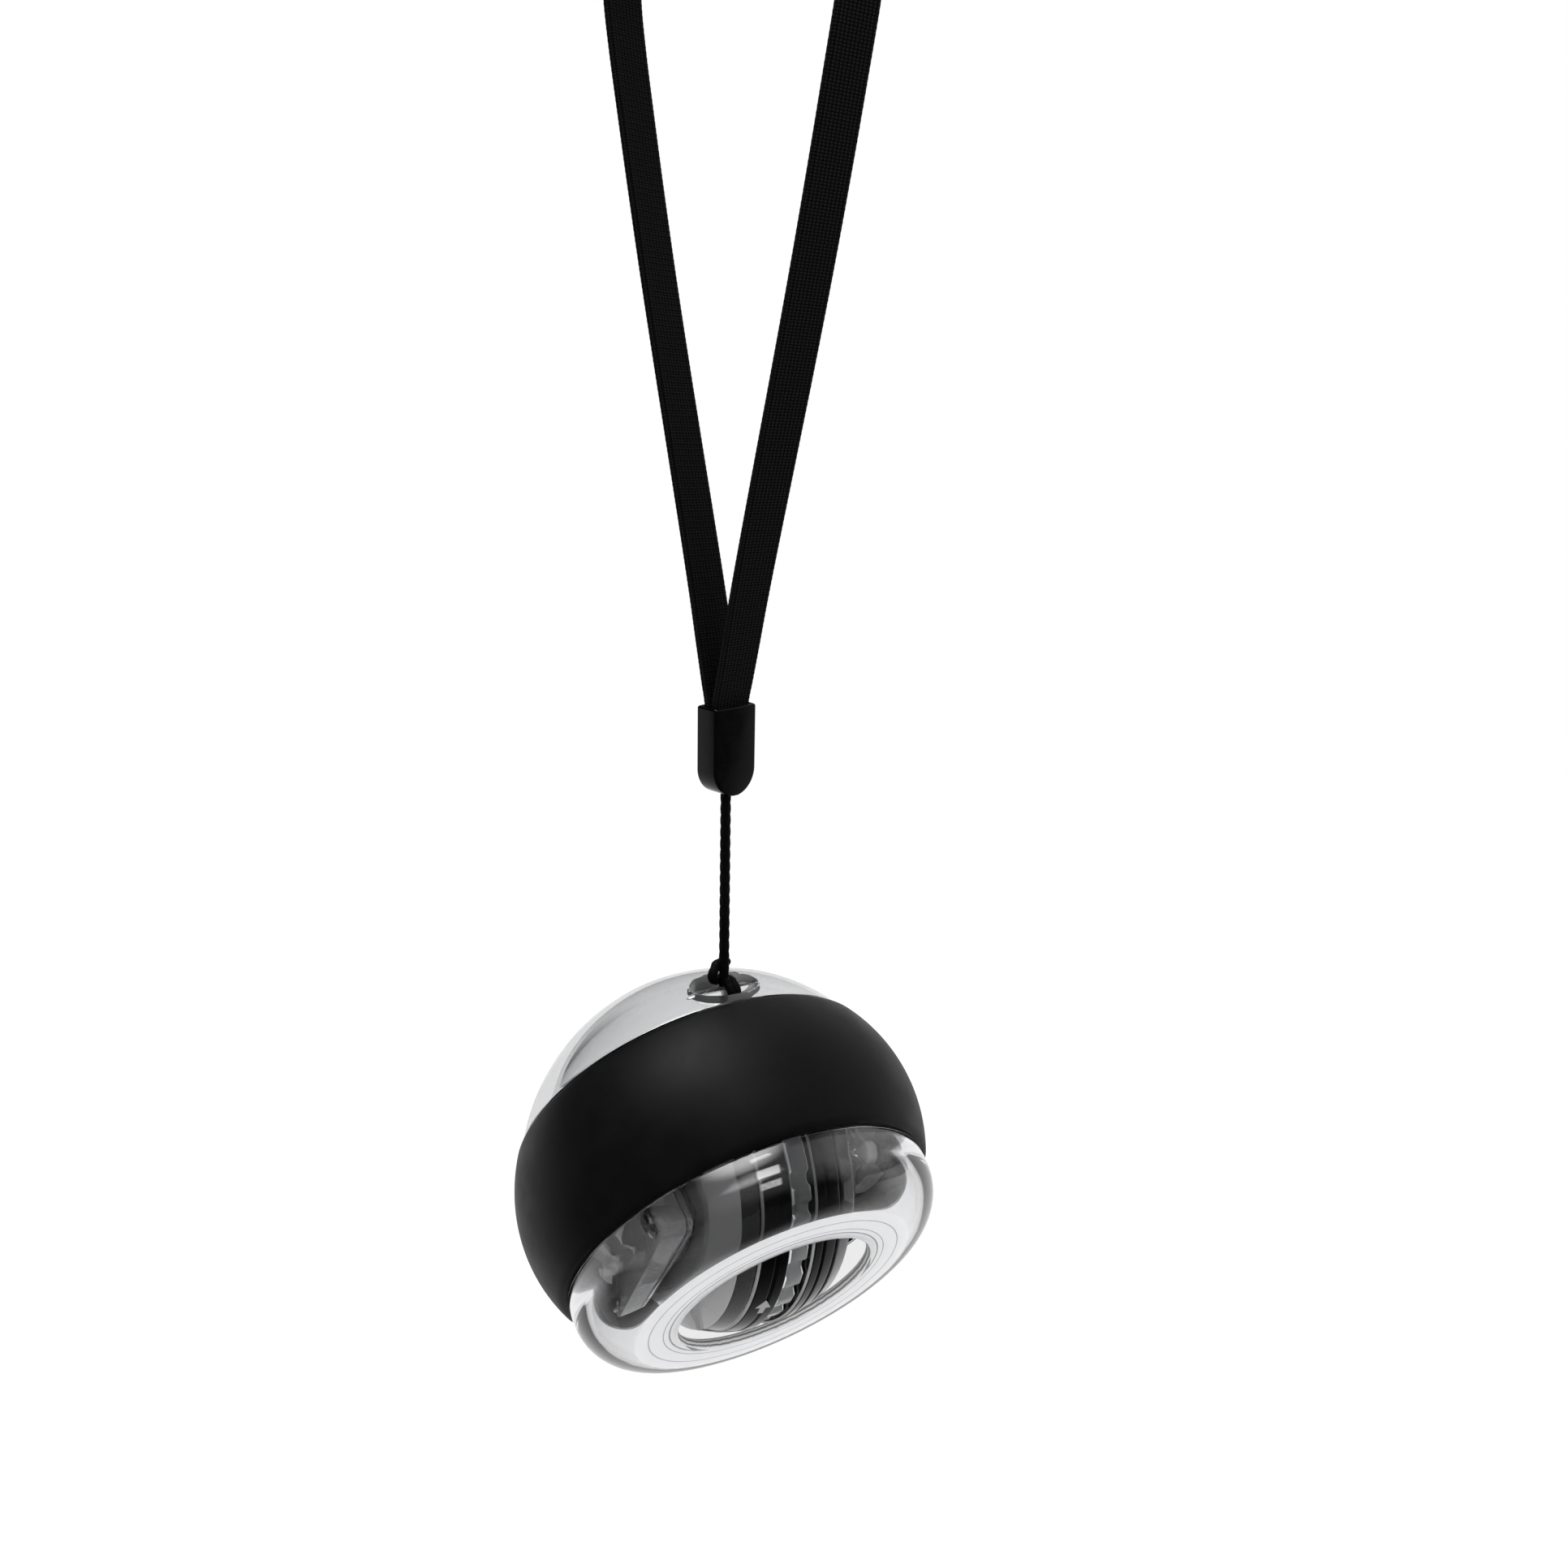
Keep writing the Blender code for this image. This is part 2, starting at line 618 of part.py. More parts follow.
def grip_on_ring(piece, name, frame):
    """Fits a block over the ring: a slot for the ring, and an end inside the shell."""
    outline = [(r, z) for r, z in ring_outline(CLEAR)]
    slot = turned(f"{name}_ring_slot", outline, SHELL_STEPS, None, frame)
    reach = YOKE_HALF_HEIGHT * 2
    sweep = [(0, -reach), (SWEEP_RADIUS, -reach), (SWEEP_RADIUS, reach), (0, reach)]
    limit = turned(f"{name}_sweep", sweep, SHELL_STEPS, None, frame)
    shaped(piece, "INTERSECT", limit)
    return shaped(piece, "DIFFERENCE", slot)


def make_bearing_block(material, frame, spin):
    """The plain end's block, which grips the ring and steadies the bush."""
    low = RING_INNER - BEARING_DEPTH
    corner = (-BEARING_HALF_WIDTH, -BEARING_HALF_HEIGHT, low)
    opposite = (BEARING_HALF_WIDTH, BEARING_HALF_HEIGHT, RING_RADIUS + RUN)
    piece = block("bearing_block", corner, opposite, material, spin)
    grip_on_ring(piece, "bearing", frame)
    return drilled(piece, BUSH_RADIUS + CLEAR, low - RUN, RING_RADIUS + RUN * 2, steps=SMALL_STEPS)


def make_housing(material, frame, spin):
    """The starter's clear cup: square, round inside, with the yoke that grips the ring."""
    outline = rounded_square(HOUSING_HALF, HOUSING_CORNER)
    housing = prism("starter_housing", outline, -HOUSING_END, -HOUSING_START, material, spin)
    low = (-YOKE_HALF_WIDTH, -YOKE_HALF_HEIGHT, -(RING_RADIUS + RUN))
    high = (YOKE_HALF_WIDTH, YOKE_HALF_HEIGHT, -(HOUSING_END - HOUSING_FLOOR / 2))
    yoke = block("yoke", low, high, None, spin)
    grip_on_ring(yoke, "yoke", frame)
    shaped(housing, "UNION", yoke)
    drilled(housing, CAVITY_RADIUS, -CAVITY_END, -HOUSING_START + RUN, steps=32)
    drilled(housing, BUSH_RADIUS + CLEAR, -RING_RADIUS - RUN, -CAVITY_END + RUN, steps=SMALL_STEPS)
    for x, y in screw_places():
        drilled(housing, SCREW_RADIUS + CLEAR, -HOUSING_END - RUN, -HOUSING_START + RUN, (x, y), 12)
    return housing


def screw_places():
    return [(x * SCREW_PLACE, y * SCREW_PLACE) for x in (-1, 1) for y in (-1, 1)]


def make_cover(material, spin):
    """The plate that closes the starter's cup, open in the middle for the arbor."""
    outline = rounded_square(HOUSING_HALF, HOUSING_CORNER)
    cover = prism("starter_cover", outline, -COVER_END, -COVER_START, material, spin)
    drilled(cover, ARBOR_RADIUS + RUN, -COVER_END - RUN, -COVER_START + RUN)
    for x, y in screw_places():
        drilled(cover, SCREW_RADIUS + CLEAR, -COVER_END - RUN, -COVER_START + RUN, (x, y), 12)
    return cover


def make_screws(material, spin):
    """Four pan-head screws through the housing into the cover."""
    head = HOUSING_END + CLEAR
    outline = [
        (0, -COVER_START - CLEAR), (SCREW_RADIUS, -COVER_START - CLEAR), (SCREW_RADIUS, -head),
        (SCREW_HEAD, -head), (SCREW_HEAD, -head - SCREW_HEAD_HEIGHT * 0.6),
        (SCREW_HEAD * 0.7, -head - SCREW_HEAD_HEIGHT), (0, -head - SCREW_HEAD_HEIGHT),
    ]
    for number, (x, y) in enumerate(screw_places(), 1):
        screw = turned(f"starter_screw_{number}", outline, 12, material, spin)
        screw.location = (x, y, 0)


def make_mainspring(material, spin):
    """The flat power spring, wound from the arbor out to the cup's wall."""
    per_turn = 20
    inner = ARBOR_RADIUS + CLEAR + SPRING_THICKNESS / 2
    outer = CAVITY_RADIUS - CLEAR - SPRING_THICKNESS / 2
    steps = SPRING_TURNS * per_turn
    rings = []
    for i in range(steps + 1):
        angle = 2 * math.pi * i / per_turn
        radius = inner + (outer - inner) * i / steps
        near = polar(radius - SPRING_THICKNESS / 2, angle)
        far = polar(radius + SPRING_THICKNESS / 2, angle)
        low, high = -SPRING_END, -SPRING_START
        rings.append([(*near, low), (*far, low), (*far, high), (*near, high)])
    gaps = [math.dist(b[0], a[1]) for a, b in zip(rings, rings[per_turn:])]
    print(f"mainspring: least gap to itself {min(gaps) * 1000:.2f} mm")
    return lofted("mainspring", rings, material, spin)


def make_drive_hub(material, spin):
    """The arbor and its disc, with a moulded peg for each pawl."""
    edge = ratchet_tip() - RUN
    outline = [
        (BORE_RADIUS, -SPRING_END), (ARBOR_RADIUS, -SPRING_END), (ARBOR_RADIUS, -DISC_END),
        (edge, -DISC_END), (edge, -DISC_START), (BORE_RADIUS, -DISC_START),
    ]
    hub = turned("drive_hub", outline, ROTOR_STEPS, material, spin)
    peg_outline = [(0, -PAWL_END), (PEG_RADIUS, -PAWL_END)]
    peg_outline += [(PEG_RADIUS, -DISC_START - HUB_DISC / 2), (0, -DISC_START - HUB_DISC / 2)]
    for number in range(PAWLS):
        peg = turned(f"peg_{number + 1}", peg_outline, 12, None, spin)
        peg.location = (*polar(PAWL_PIVOT, 2 * math.pi * number / PAWLS), 0)
        shaped(hub, "UNION", peg)
    return hub


def make_pawls(material, spin):
    """Three pawls on the hub's pegs, lifted clear of the ratchet's teeth."""
    outline = arc((0, 0), PAWL_HEAD, 75, 285, 9)
    outline += [(PAWL_LENGTH - PAWL_TIP, -PAWL_TIP * 1.6), (PAWL_LENGTH, 0), (PAWL_LENGTH - PAWL_TIP, PAWL_TIP * 1.6)]
    for number in range(PAWLS):
        around = 2 * math.pi * number / PAWLS
        pawl_pivot = empty(f"pawl_pivot_{number + 1}", spin, (*polar(PAWL_PIVOT, around), 0))
        pawl_pivot.rotation_euler = (0, 0, around + PAWL_LIFTED)
        pawl = prism(f"pawl_{number + 1}", outline, -PAWL_END, -PAWL_START, material, pawl_pivot)
        drilled(pawl, PEG_RADIUS + CLEAR, -PAWL_END - RUN, -PAWL_START + RUN, steps=12)


def pawl_tip_at(beta):
    """The pawl's tip, as (radius, angle) about the spin axis, with its arm at this angle."""
    x = PAWL_PIVOT + PAWL_LENGTH * math.cos(beta)
    y = PAWL_LENGTH * math.sin(beta)
    return math.hypot(x, y), math.atan2(y, x)


def ratchet_tip():
    """Radius of the points of the teeth, just clear of a lifted pawl."""
    return pawl_tip_at(PAWL_LIFTED)[0] + CLEAR * 1.5


def pawl_engaged():
    """The angle of a pawl's arm with its tip between the teeth."""
    reach = ratchet_tip() + PAWL_BITE
    return math.acos((reach**2 - PAWL_PIVOT**2 - PAWL_LENGTH**2) / (2 * PAWL_PIVOT * PAWL_LENGTH))


def tooth_face():
    """The angle of a tooth's steep face at its tip, just past the pawl's swing."""
    swing = [pawl_tip_at(beta) for beta in spread(PAWL_LIFTED, pawl_engaged(), 24)]
    furthest = max(angle for radius, angle in swing if radius > ratchet_tip() - CLEAR)
    return furthest + CLEAR / ratchet_tip()


def make_ratchet(material, spin):
    """The ratchet on the rotor's left flank: saw teeth that point inwards."""
    pitch = 2 * math.pi / RATCHET_TEETH
    tip = ratchet_tip()
    root = tip + RATCHET_DEPTH
    outer_radius = root + RATCHET_WALL
    inner, outer = [], []
    for tooth in range(RATCHET_TEETH):
        face = tooth_face() + tooth * pitch
        corners = [(root, face - RATCHET_RAKE)]
        for share in spread(0, 0.75, 3):
            corners.append((tip + share * RATCHET_DEPTH, face + share * (pitch - RATCHET_RAKE)))
        for radius, angle in corners:
            inner.append(polar(radius, angle))
            outer.append(polar(outer_radius, angle))
    return walled("ratchet_ring", inner, outer, -PAWL_END, -RATCHET_START, material, spin)


def make_axle(material, spin):
    """The steel axle, whose thin ends roll in the shell's track."""
    shoulder = RING_RADIUS - RUN
    chamfer = AXLE_TIP_RADIUS / 3
    half = [(AXLE_RADIUS, shoulder), (AXLE_TIP_RADIUS, shoulder + chamfer)]
    half += [(AXLE_TIP_RADIUS, AXLE_HALF - chamfer), (AXLE_TIP_RADIUS - chamfer, AXLE_HALF), (0, AXLE_HALF)]
    outline = [(r, -z) for r, z in reversed(half)] + half
    return turned("axle", outline, 16, material, spin)


def make_core(material, spin):
    """The moulded core that holds the rotor's rings on the axle."""
    low, high = -WEIGHT_END, WEIGHT_END
    outline = [(BORE_RADIUS, low), (CORE_RADIUS, low), (CORE_RADIUS, high), (BORE_RADIUS, high)]
    return turned("rotor_core", outline, BORE_STEPS, material, spin)


def rotor_surface(station, drop=0.0):
    """Radius of the rotor's round surface at a station along the spin axis."""
    return math.sqrt(ROTOR_RADIUS**2 - station**2) - drop


def make_weights(material, spin):
    """The two heavy rings, each with a scored line round it."""
    bore = CORE_RADIUS + CLEAR
    score = WEIGHT_START + SCORE_PLACE * (WEIGHT_END - WEIGHT_START)
    outline = [(bore, WEIGHT_END), (bore, WEIGHT_START)]
    outline += [(rotor_surface(WEIGHT_START, WEIGHT_CHAMFER), WEIGHT_START)]
    for station in spread(WEIGHT_START + WEIGHT_CHAMFER, score - SCORE_DEPTH, 3):
        outline.append((rotor_surface(station), station))
    outline.append((rotor_surface(score, SCORE_DEPTH), score))
    for station in spread(score + SCORE_DEPTH, WEIGHT_END - WEIGHT_CHAMFER, 2):
        outline.append((rotor_surface(station), station))
    outline.append((rotor_surface(WEIGHT_END, WEIGHT_CHAMFER), WEIGHT_END))
    for side, name in ((-1, "left"), (1, "right")):
        sided = [(r, side * z) for r, z in outline]
        turned(f"weight_ring_{name}", sided, ROTOR_STEPS, material, spin)


def make_groove_ring(material, spin):
    """The clear middle ring, notched round its edge for the thumb."""
    radius = ROTOR_RADIUS - GROOVE_DROP
    pitch = 2 * math.pi / GROOVE_NOTCHES
    inner, outer = [], []
    for notch in range(GROOVE_NOTCHES):
        for share, drop in ((0.0, 0), (0.45, 0), (0.6, NOTCH_DEPTH), (0.85, NOTCH_DEPTH)):
            angle = (notch + share) * pitch
            inner.append(polar(CORE_RADIUS + CLEAR, angle))
            outer.append(polar(radius - drop, angle))
    return walled("groove_ring", inner, outer, -GROOVE_HALF, GROOVE_HALF, material, spin)


def make_flanks(material, spin):
    """The clear dished covers on the rotor's two sides."""
    dish = FLANK_END - FLANK_DISH
    edge = FLANK_END - FLANK_EDGE
    rim = rotor_surface(edge) - FLANK_BEVEL
    outline = [(BORE_RADIUS, FLANK_END), (BORE_RADIUS, FLANK_START)]
    outline += [(rotor_surface(station), station) for station in spread(FLANK_START, edge, 2)]
    outline += [
        (rim, FLANK_END), (rim - FLANK_RIM, FLANK_END), (rim - FLANK_RIM - FLANK_DISH / 2, dish),
        (FLANK_HUB + FLANK_DISH / 2, dish), (FLANK_HUB, FLANK_END),
    ]
    for side, name in ((-1, "left"), (1, "right")):
        sided = [(r, side * z) for r, z in outline]
        turned(f"rotor_flank_{name}", sided, ROTOR_STEPS, material, spin)


def make_collar(material, spin):
    """The brass collar on the plain side, which balances the starter."""
    low, high = FLANK_END + CLEAR, RING_INNER - BEARING_DEPTH - RUN
    chamfer = CLEAR * 2
    outline = [
        (BORE_RADIUS, low), (COLLAR_RADIUS - chamfer, low), (COLLAR_RADIUS, low + chamfer),
        (COLLAR_RADIUS, high - chamfer), (COLLAR_RADIUS - chamfer, high), (BORE_RADIUS, high),
    ]
    return turned("balance_collar", outline, BORE_STEPS, material, spin)


def ball_rotation():
    """The ball's turn as it hangs: its centre of mass is straight below the eye's bar."""
    tilt = math.atan2(EYE_BAR * math.sin(EYE_ANGLE), EYE_BAR * math.cos(EYE_ANGLE) + BALANCE)
    return (math.pi - tilt, 0, HEADING)


def make_frames():
    """The frames that the moving pieces hang on."""
    cord = empty("cord_pivot", None, (0, 0, CAP_BOTTOM))
    bar = empty("bar_pivot", None, (0, 0, BAR_HEIGHT))
    hang = empty("ball_hang", bar, (0, 0, 0), ball_rotation())
    centre = (0, -EYE_BAR * math.sin(EYE_ANGLE), EYE_BAR * math.cos(EYE_ANGLE))
    ball = empty("ball_frame", hang, centre)
    ring = empty("ring_frame", ball, rotation=(0, 0, AXLE_TURN))
    turn = Matrix(((0, 0, 1), (1, 0, 0), (0, 1, 0))).to_euler()
    spin = empty("spin_frame", ring, rotation=turn)
    return cord, bar, ball, ring, spin


def main():
    clear_scene()
    clear_plastic = principled("clear_plastic", (0.93, 0.95, 0.96), 0.05, transmission=1.0)
    smoke_plastic = principled("smoke_plastic", (0.55, 0.54, 0.53), 0.12, transmission=0.8)
    rubber = principled("band_rubber", (0.016, 0.016, 0.018), 0.55)
    webbing = principled("strap_weave", (0.02, 0.02, 0.022), 0.85)
    cord_black = principled("cord_black", (0.012, 0.012, 0.013), 0.8)
    gloss_black = principled("cap_black", (0.01, 0.01, 0.012), 0.2)
    black_metal = principled("weight_black", (0.02, 0.02, 0.022), 0.25, 0.6)
    steel = principled("steel", (0.62, 0.63, 0.64), 0.25, 1.0)
    brass = principled("brass", (0.72, 0.56, 0.28), 0.3, 1.0)
    dark_plastic = principled("dark_plastic", (0.05, 0.05, 0.055), 0.4)
    white_plastic = principled("white_plastic", (0.78, 0.79, 0.80), 0.35)

    cord, bar, ball, ring, spin = make_frames()
    make_strap(webbing)
    make_cap(gloss_black)
    make_cord(cord_black, cord)
    make_hitch(cord_black, bar)
    make_dome(clear_plastic, ball)
    make_opening_shell(clear_plastic, ball)
    make_band(rubber, ball)
    make_ring(white_plastic, ring, spin)
    make_bushes(dark_plastic, spin)
    make_bearing_block(smoke_plastic, ring, spin)
    make_housing(smoke_plastic, ring, spin)
    make_cover(clear_plastic, spin)
    make_screws(steel, spin)
    make_mainspring(steel, spin)
    make_drive_hub(white_plastic, spin)
    make_pawls(brass, spin)
    make_ratchet(brass, spin)
    make_axle(steel, spin)
    make_core(dark_plastic, spin)
    make_weights(black_metal, spin)
    make_groove_ring(clear_plastic, spin)
    make_flanks(clear_plastic, spin)
    make_collar(brass, spin)


main()
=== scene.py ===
import json
import math

import bmesh
import bpy
from mathutils import Matrix, Vector

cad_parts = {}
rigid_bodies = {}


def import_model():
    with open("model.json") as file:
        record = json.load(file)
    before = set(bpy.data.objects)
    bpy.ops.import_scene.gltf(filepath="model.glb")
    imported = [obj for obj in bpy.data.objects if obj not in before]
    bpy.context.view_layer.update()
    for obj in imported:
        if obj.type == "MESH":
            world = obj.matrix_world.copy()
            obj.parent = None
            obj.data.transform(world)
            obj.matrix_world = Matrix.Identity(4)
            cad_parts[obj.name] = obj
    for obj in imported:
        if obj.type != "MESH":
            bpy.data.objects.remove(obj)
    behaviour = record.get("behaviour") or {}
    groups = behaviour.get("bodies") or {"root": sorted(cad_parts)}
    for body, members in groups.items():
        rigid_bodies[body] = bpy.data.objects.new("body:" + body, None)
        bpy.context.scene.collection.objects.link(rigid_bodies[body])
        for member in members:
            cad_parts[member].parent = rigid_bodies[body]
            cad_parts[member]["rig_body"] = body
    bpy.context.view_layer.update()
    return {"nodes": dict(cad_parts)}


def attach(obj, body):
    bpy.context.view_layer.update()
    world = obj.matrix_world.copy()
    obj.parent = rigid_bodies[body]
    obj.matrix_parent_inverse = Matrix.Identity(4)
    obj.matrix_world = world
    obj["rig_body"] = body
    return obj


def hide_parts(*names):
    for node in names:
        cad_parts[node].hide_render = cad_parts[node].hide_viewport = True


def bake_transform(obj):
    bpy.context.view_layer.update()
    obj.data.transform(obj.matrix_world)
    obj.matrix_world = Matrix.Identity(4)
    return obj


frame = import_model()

# Looks of the gyroscopic wrist ball, in metres and in the frame of the CAD model. The sizes and
# places from here down to CAP repeat the model's by the same names.
MM = 0.001
CLEAR = 0.3 * MM  # between pieces that touch
RUN = 0.5 * MM  # between pieces that pass each other
HEADING = math.radians(29.0)  # of the opening, to the viewer's right
BALANCE = -0.45 * MM  # of the centre of mass along the ball's axis, towards the opening
EYE_ANGLE = math.radians(56.39)  # of the eye from the dome's pole
AXLE_TURN = math.radians(-4.3)  # of the axle in the track at rest

STRAP_WIDTH = 6.5 * MM
STRAP_THICKNESS = 1.3 * MM
STRAP_SEAT = 2.2 * MM
STRAP_TURN = math.radians(44.0)
STRAP_TWIST = math.radians(7.0)
CAP_SIDE_WALL = 0.5 * MM
CAP_FACE_WALL = 0.95 * MM
CAP_LENGTH = 13.8 * MM
CORD_RADIUS = 0.6 * MM
CORD_LENGTH = 31.3 * MM
CORD_SEAT = 2.5 * MM
LAYER = STRAP_THICKNESS / 2 + CLEAR / 2
STRAP_ROUTE = [
    (LAYER, -0.1164), (LAYER, -0.1138), (0.0016, -0.1105), (0.0029, -0.1050),
    (0.0044, -0.0985), (0.0064, -0.0905), (0.0095, -0.0785), (0.0126, -0.0665),
    (0.0156, -0.0545), (0.0184, -0.0425), (0.0206, -0.0325), (0.0224, -0.0240),
    (0.0235, -0.0170), (0.0233, -0.0115), (0.0211, -0.0068), (0.0170, -0.0033),
    (0.0115, -0.0009), (0.0057, 0.0003),
]
STRAP_TOP = 0.65 * MM  # height of the strap's middle at the top of the loop

BALL_RADIUS = 33.0 * MM
BAND_CROWN = 25.3 * MM
BAND_SEAT_CROWN = 30.2 * MM
BAND_THICKNESS = 1.7 * MM
BAND_TO_DOME = 11.8 * MM
BAND_TO_RIM = 11.3 * MM
BAND_ROUND = 0.4 * MM
DOME_STEP = 0.5 * MM
RIM_STEP = 0.9 * MM
DOME_WALL = 2.4 * MM
RIM_WALL = 2.2 * MM
LIP_FLAT = 5.1 * MM
LIP_WALL = 1.6 * MM
LIP_ROUND = 0.8 * MM
LIP_GAP = 1.1 * MM
OPENING_RADIUS = 15.5 * MM
TRACK_WALL = 1.5 * MM
TRACK_DEPTH = 1.5 * MM
TRACK_PLAY = 0.6 * MM
RAIL_WIDTH = 1.8 * MM
EYE_LENGTH = 11.0 * MM
EYE_ROOM = 1.8 * MM
EYE_BAR_RADIUS = 1.1 * MM
EYE_BAR_DEPTH = 1.9 * MM

RING_WALL = 2.5 * MM
RING_HALF = 2.6 * MM
RING_CHAMFER = 0.4 * MM
BUSH_BORE_WALL = 0.8 * MM
ROTOR_DROP = 0.6 * MM
WEIGHT_ANGLE = math.radians(15.9)
AXLE_RADIUS = 1.1 * MM
AXLE_TIP_RADIUS = 0.9 * MM
CORE_RADIUS = 6.7 * MM
GROOVE_HALF = 1.6 * MM
GROOVE_DROP = 0.8 * MM
GROOVE_NOTCHES = 30
NOTCH_DEPTH = 0.9 * MM
FLANK_EDGE = 3.1 * MM
FLANK_BEVEL = 4.0 * MM
FLANK_RIM = 2.1 * MM
FLANK_DISH = 1.1 * MM
FLANK_HUB = 2.8 * MM
SCORE_DEPTH = 0.3 * MM
SCORE_PLACE = 0.44
WEIGHT_CHAMFER = 0.4 * MM
YOKE_HALF_WIDTH = 5.5 * MM
YOKE_HALF_HEIGHT = 8.5 * MM
HOUSING_FLOOR = 1.0 * MM
HOUSING_WALL = 1.5 * MM
HOUSING_INSET = 0.9 * MM
HOUSING_ANGLE = math.radians(35.659)
HOUSING_CORNER = 2.2 * MM
SPRING_WIDTH = 2.2 * MM
SPRING_THICKNESS = 0.25 * MM
SPRING_TURNS = 6
COVER_THICKNESS = 0.8 * MM
PAWL_THICKNESS = 0.7 * MM
HUB_DISC = 0.7 * MM
ARBOR_RADIUS = 2.6 * MM
SCREW_RADIUS = 0.7 * MM
SCREW_INSET = 2.2 * MM


def crown(height):
    return BALL_RADIUS - BAND_CROWN + math.sqrt(BAND_CROWN**2 - height**2)


def band_bore(height):
    middle = BALL_RADIUS - BAND_THICKNESS - BAND_SEAT_CROWN
    return middle + math.sqrt(BAND_SEAT_CROWN**2 - height**2)


def seat(height):
    return band_bore(height) - CLEAR


CAP_WIDTH = STRAP_WIDTH + 2 * (CLEAR + CAP_SIDE_WALL)
CAP_DEPTH = 2 * (LAYER + STRAP_THICKNESS / 2 + CLEAR + CAP_FACE_WALL)
DOME_RADIUS = math.hypot(crown(BAND_TO_DOME) - DOME_STEP, BAND_TO_DOME)
DOME_INNER = DOME_RADIUS - DOME_WALL
RIM_RADIUS = crown(BAND_TO_RIM) - RIM_STEP
RIM_INNER = RIM_RADIUS - RIM_WALL
TRACK_HALF = AXLE_TIP_RADIUS + TRACK_PLAY
TRACK_RADIUS = seat(0) - TRACK_WALL
RAIL_RADIUS = TRACK_RADIUS - TRACK_DEPTH
EYE_BAR = DOME_RADIUS - EYE_BAR_DEPTH
HITCH_RADIUS = EYE_BAR_RADIUS + CLEAR + CORD_RADIUS
EYE_WIDTH = 2 * (HITCH_RADIUS + CORD_RADIUS + EYE_ROOM)
SWEEP_RADIUS = RIM_INNER - RUN
RING_RADIUS = RAIL_RADIUS - RUN
RING_INNER = RING_RADIUS - RING_WALL
BORE_RADIUS = AXLE_RADIUS + CLEAR
BUSH_RADIUS = BORE_RADIUS + BUSH_BORE_WALL
ROTOR_RADIUS = RING_INNER - ROTOR_DROP
WEIGHT_START = GROOVE_HALF + CLEAR
WEIGHT_END = ROTOR_RADIUS * math.sin(WEIGHT_ANGLE)
LIP_UNDER = math.sqrt((ROTOR_RADIUS + LIP_GAP) ** 2 - OPENING_RADIUS**2)
RIM_HEIGHT = LIP_UNDER + LIP_WALL
HOUSING_END = (RING_INNER - CLEAR) * math.cos(HOUSING_ANGLE)
CAVITY_END = HOUSING_END - HOUSING_FLOOR
SPRING_END = CAVITY_END - CLEAR
SPRING_START = SPRING_END - SPRING_WIDTH
HOUSING_START = SPRING_START - CLEAR
COVER_END = HOUSING_START - CLEAR
COVER_START = COVER_END - COVER_THICKNESS
FLANK_END = COVER_START - CLEAR - PAWL_THICKNESS - CLEAR - HUB_DISC - RUN
FLANK_START = WEIGHT_END + CLEAR
HOUSING_HALF = (RING_INNER - CLEAR) * math.sin(HOUSING_ANGLE) - HOUSING_INSET
CAVITY_RADIUS = HOUSING_HALF - HOUSING_WALL
SCREW_PLACE = HOUSING_HALF - SCREW_INSET
CAP_TOP = STRAP_ROUTE[0][1] + STRAP_SEAT
CAP_BOTTOM = CAP_TOP - CAP_LENGTH
CORD_START = CAP_BOTTOM + CORD_SEAT
CORD_END = CORD_START - CORD_LENGTH
BAR_HEIGHT = CORD_END - CLEAR - CORD_RADIUS - HITCH_RADIUS

TILT = math.atan2(EYE_BAR * math.sin(EYE_ANGLE), EYE_BAR * math.cos(EYE_ANGLE) + BALANCE)
TO_EYE = Vector((0, EYE_BAR * math.sin(EYE_ANGLE), -EYE_BAR * math.cos(EYE_ANGLE)))
HITCH = Matrix.Translation((0, 0, BAR_HEIGHT)) @ Matrix.Rotation(HEADING, 4, "Z")
BALL = HITCH @ Matrix.Rotation(math.pi - TILT, 4, "X") @ Matrix.Translation(-TO_EYE)
RING = BALL @ Matrix.Rotation(AXLE_TURN, 4, "Z")
SPIN = RING @ Matrix(((0, 0, 1, 0), (1, 0, 0, 0), (0, 1, 0, 0), (0, 0, 0, 1)))
EYE = BALL @ Matrix.Translation(TO_EYE) @ Matrix.Rotation(EYE_ANGLE - math.pi, 4, "X")
CAP = Matrix.Rotation(STRAP_TURN, 4, "Z")

# Sizes that only the drawing has
DRAWN_CORD = 0.78 * MM  # radius with the loose strands of its braid
DRAWN_KNOT = 0.92 * DRAWN_CORD
BRAID_RISE = 0.05 * MM
BRAID_LEAN = 0.675  # radians that a strand goes round for each radius along the cord
RIB_PITCH = 0.8 * MM  # of the ribs across the strap
RIB_RISE = 0.05 * MM
EDGE_RISE = 0.03 * MM  # of the strap's firmer edges
TAPE_SINK = 0.07 * MM  # of the strap's faces below the model's
CAP_EDGE = 0.55 * MM  # round of the cap's long edges
CAP_SLIM = 0.45 * MM  # less on each face than the model's cap
CAP_RIM = 0.35 * MM  # round of its upper end
TICK_TURN = math.radians(-6.0)  # of the printed arrow from the opening's middle
TICK_FROM_EDGE = 2.3 * MM
TICK_HALF = 1.7 * MM
TICK_WIDTH = 2.4 * MM
PRINT_LOW = 0.01 * MM  # the print's two faces above the weight
PRINT_HIGH = 0.07 * MM
# Rings painted dark on the lip's underside, a painted shade in place of turned grooves, by their inner and
# outer radius
LIP_LINES = ((16.9 * MM, 17.15 * MM), (17.9 * MM, 18.05 * MM), (20.2 * MM, 20.4 * MM))
LIP_WEDGE = math.radians(3.0)  # slope of the lip's underside
FROST_RADIUS = 22.3 * MM  # outer edge of its frosting
GROOVE_SOFT = 0.22 * MM  # bevel along the groove ring's edges
SPRING_SOFT = 0.05 * MM  # and along the spring strip's

scene = bpy.context.scene
scene.view_settings.view_transform = "Standard"


# Camera

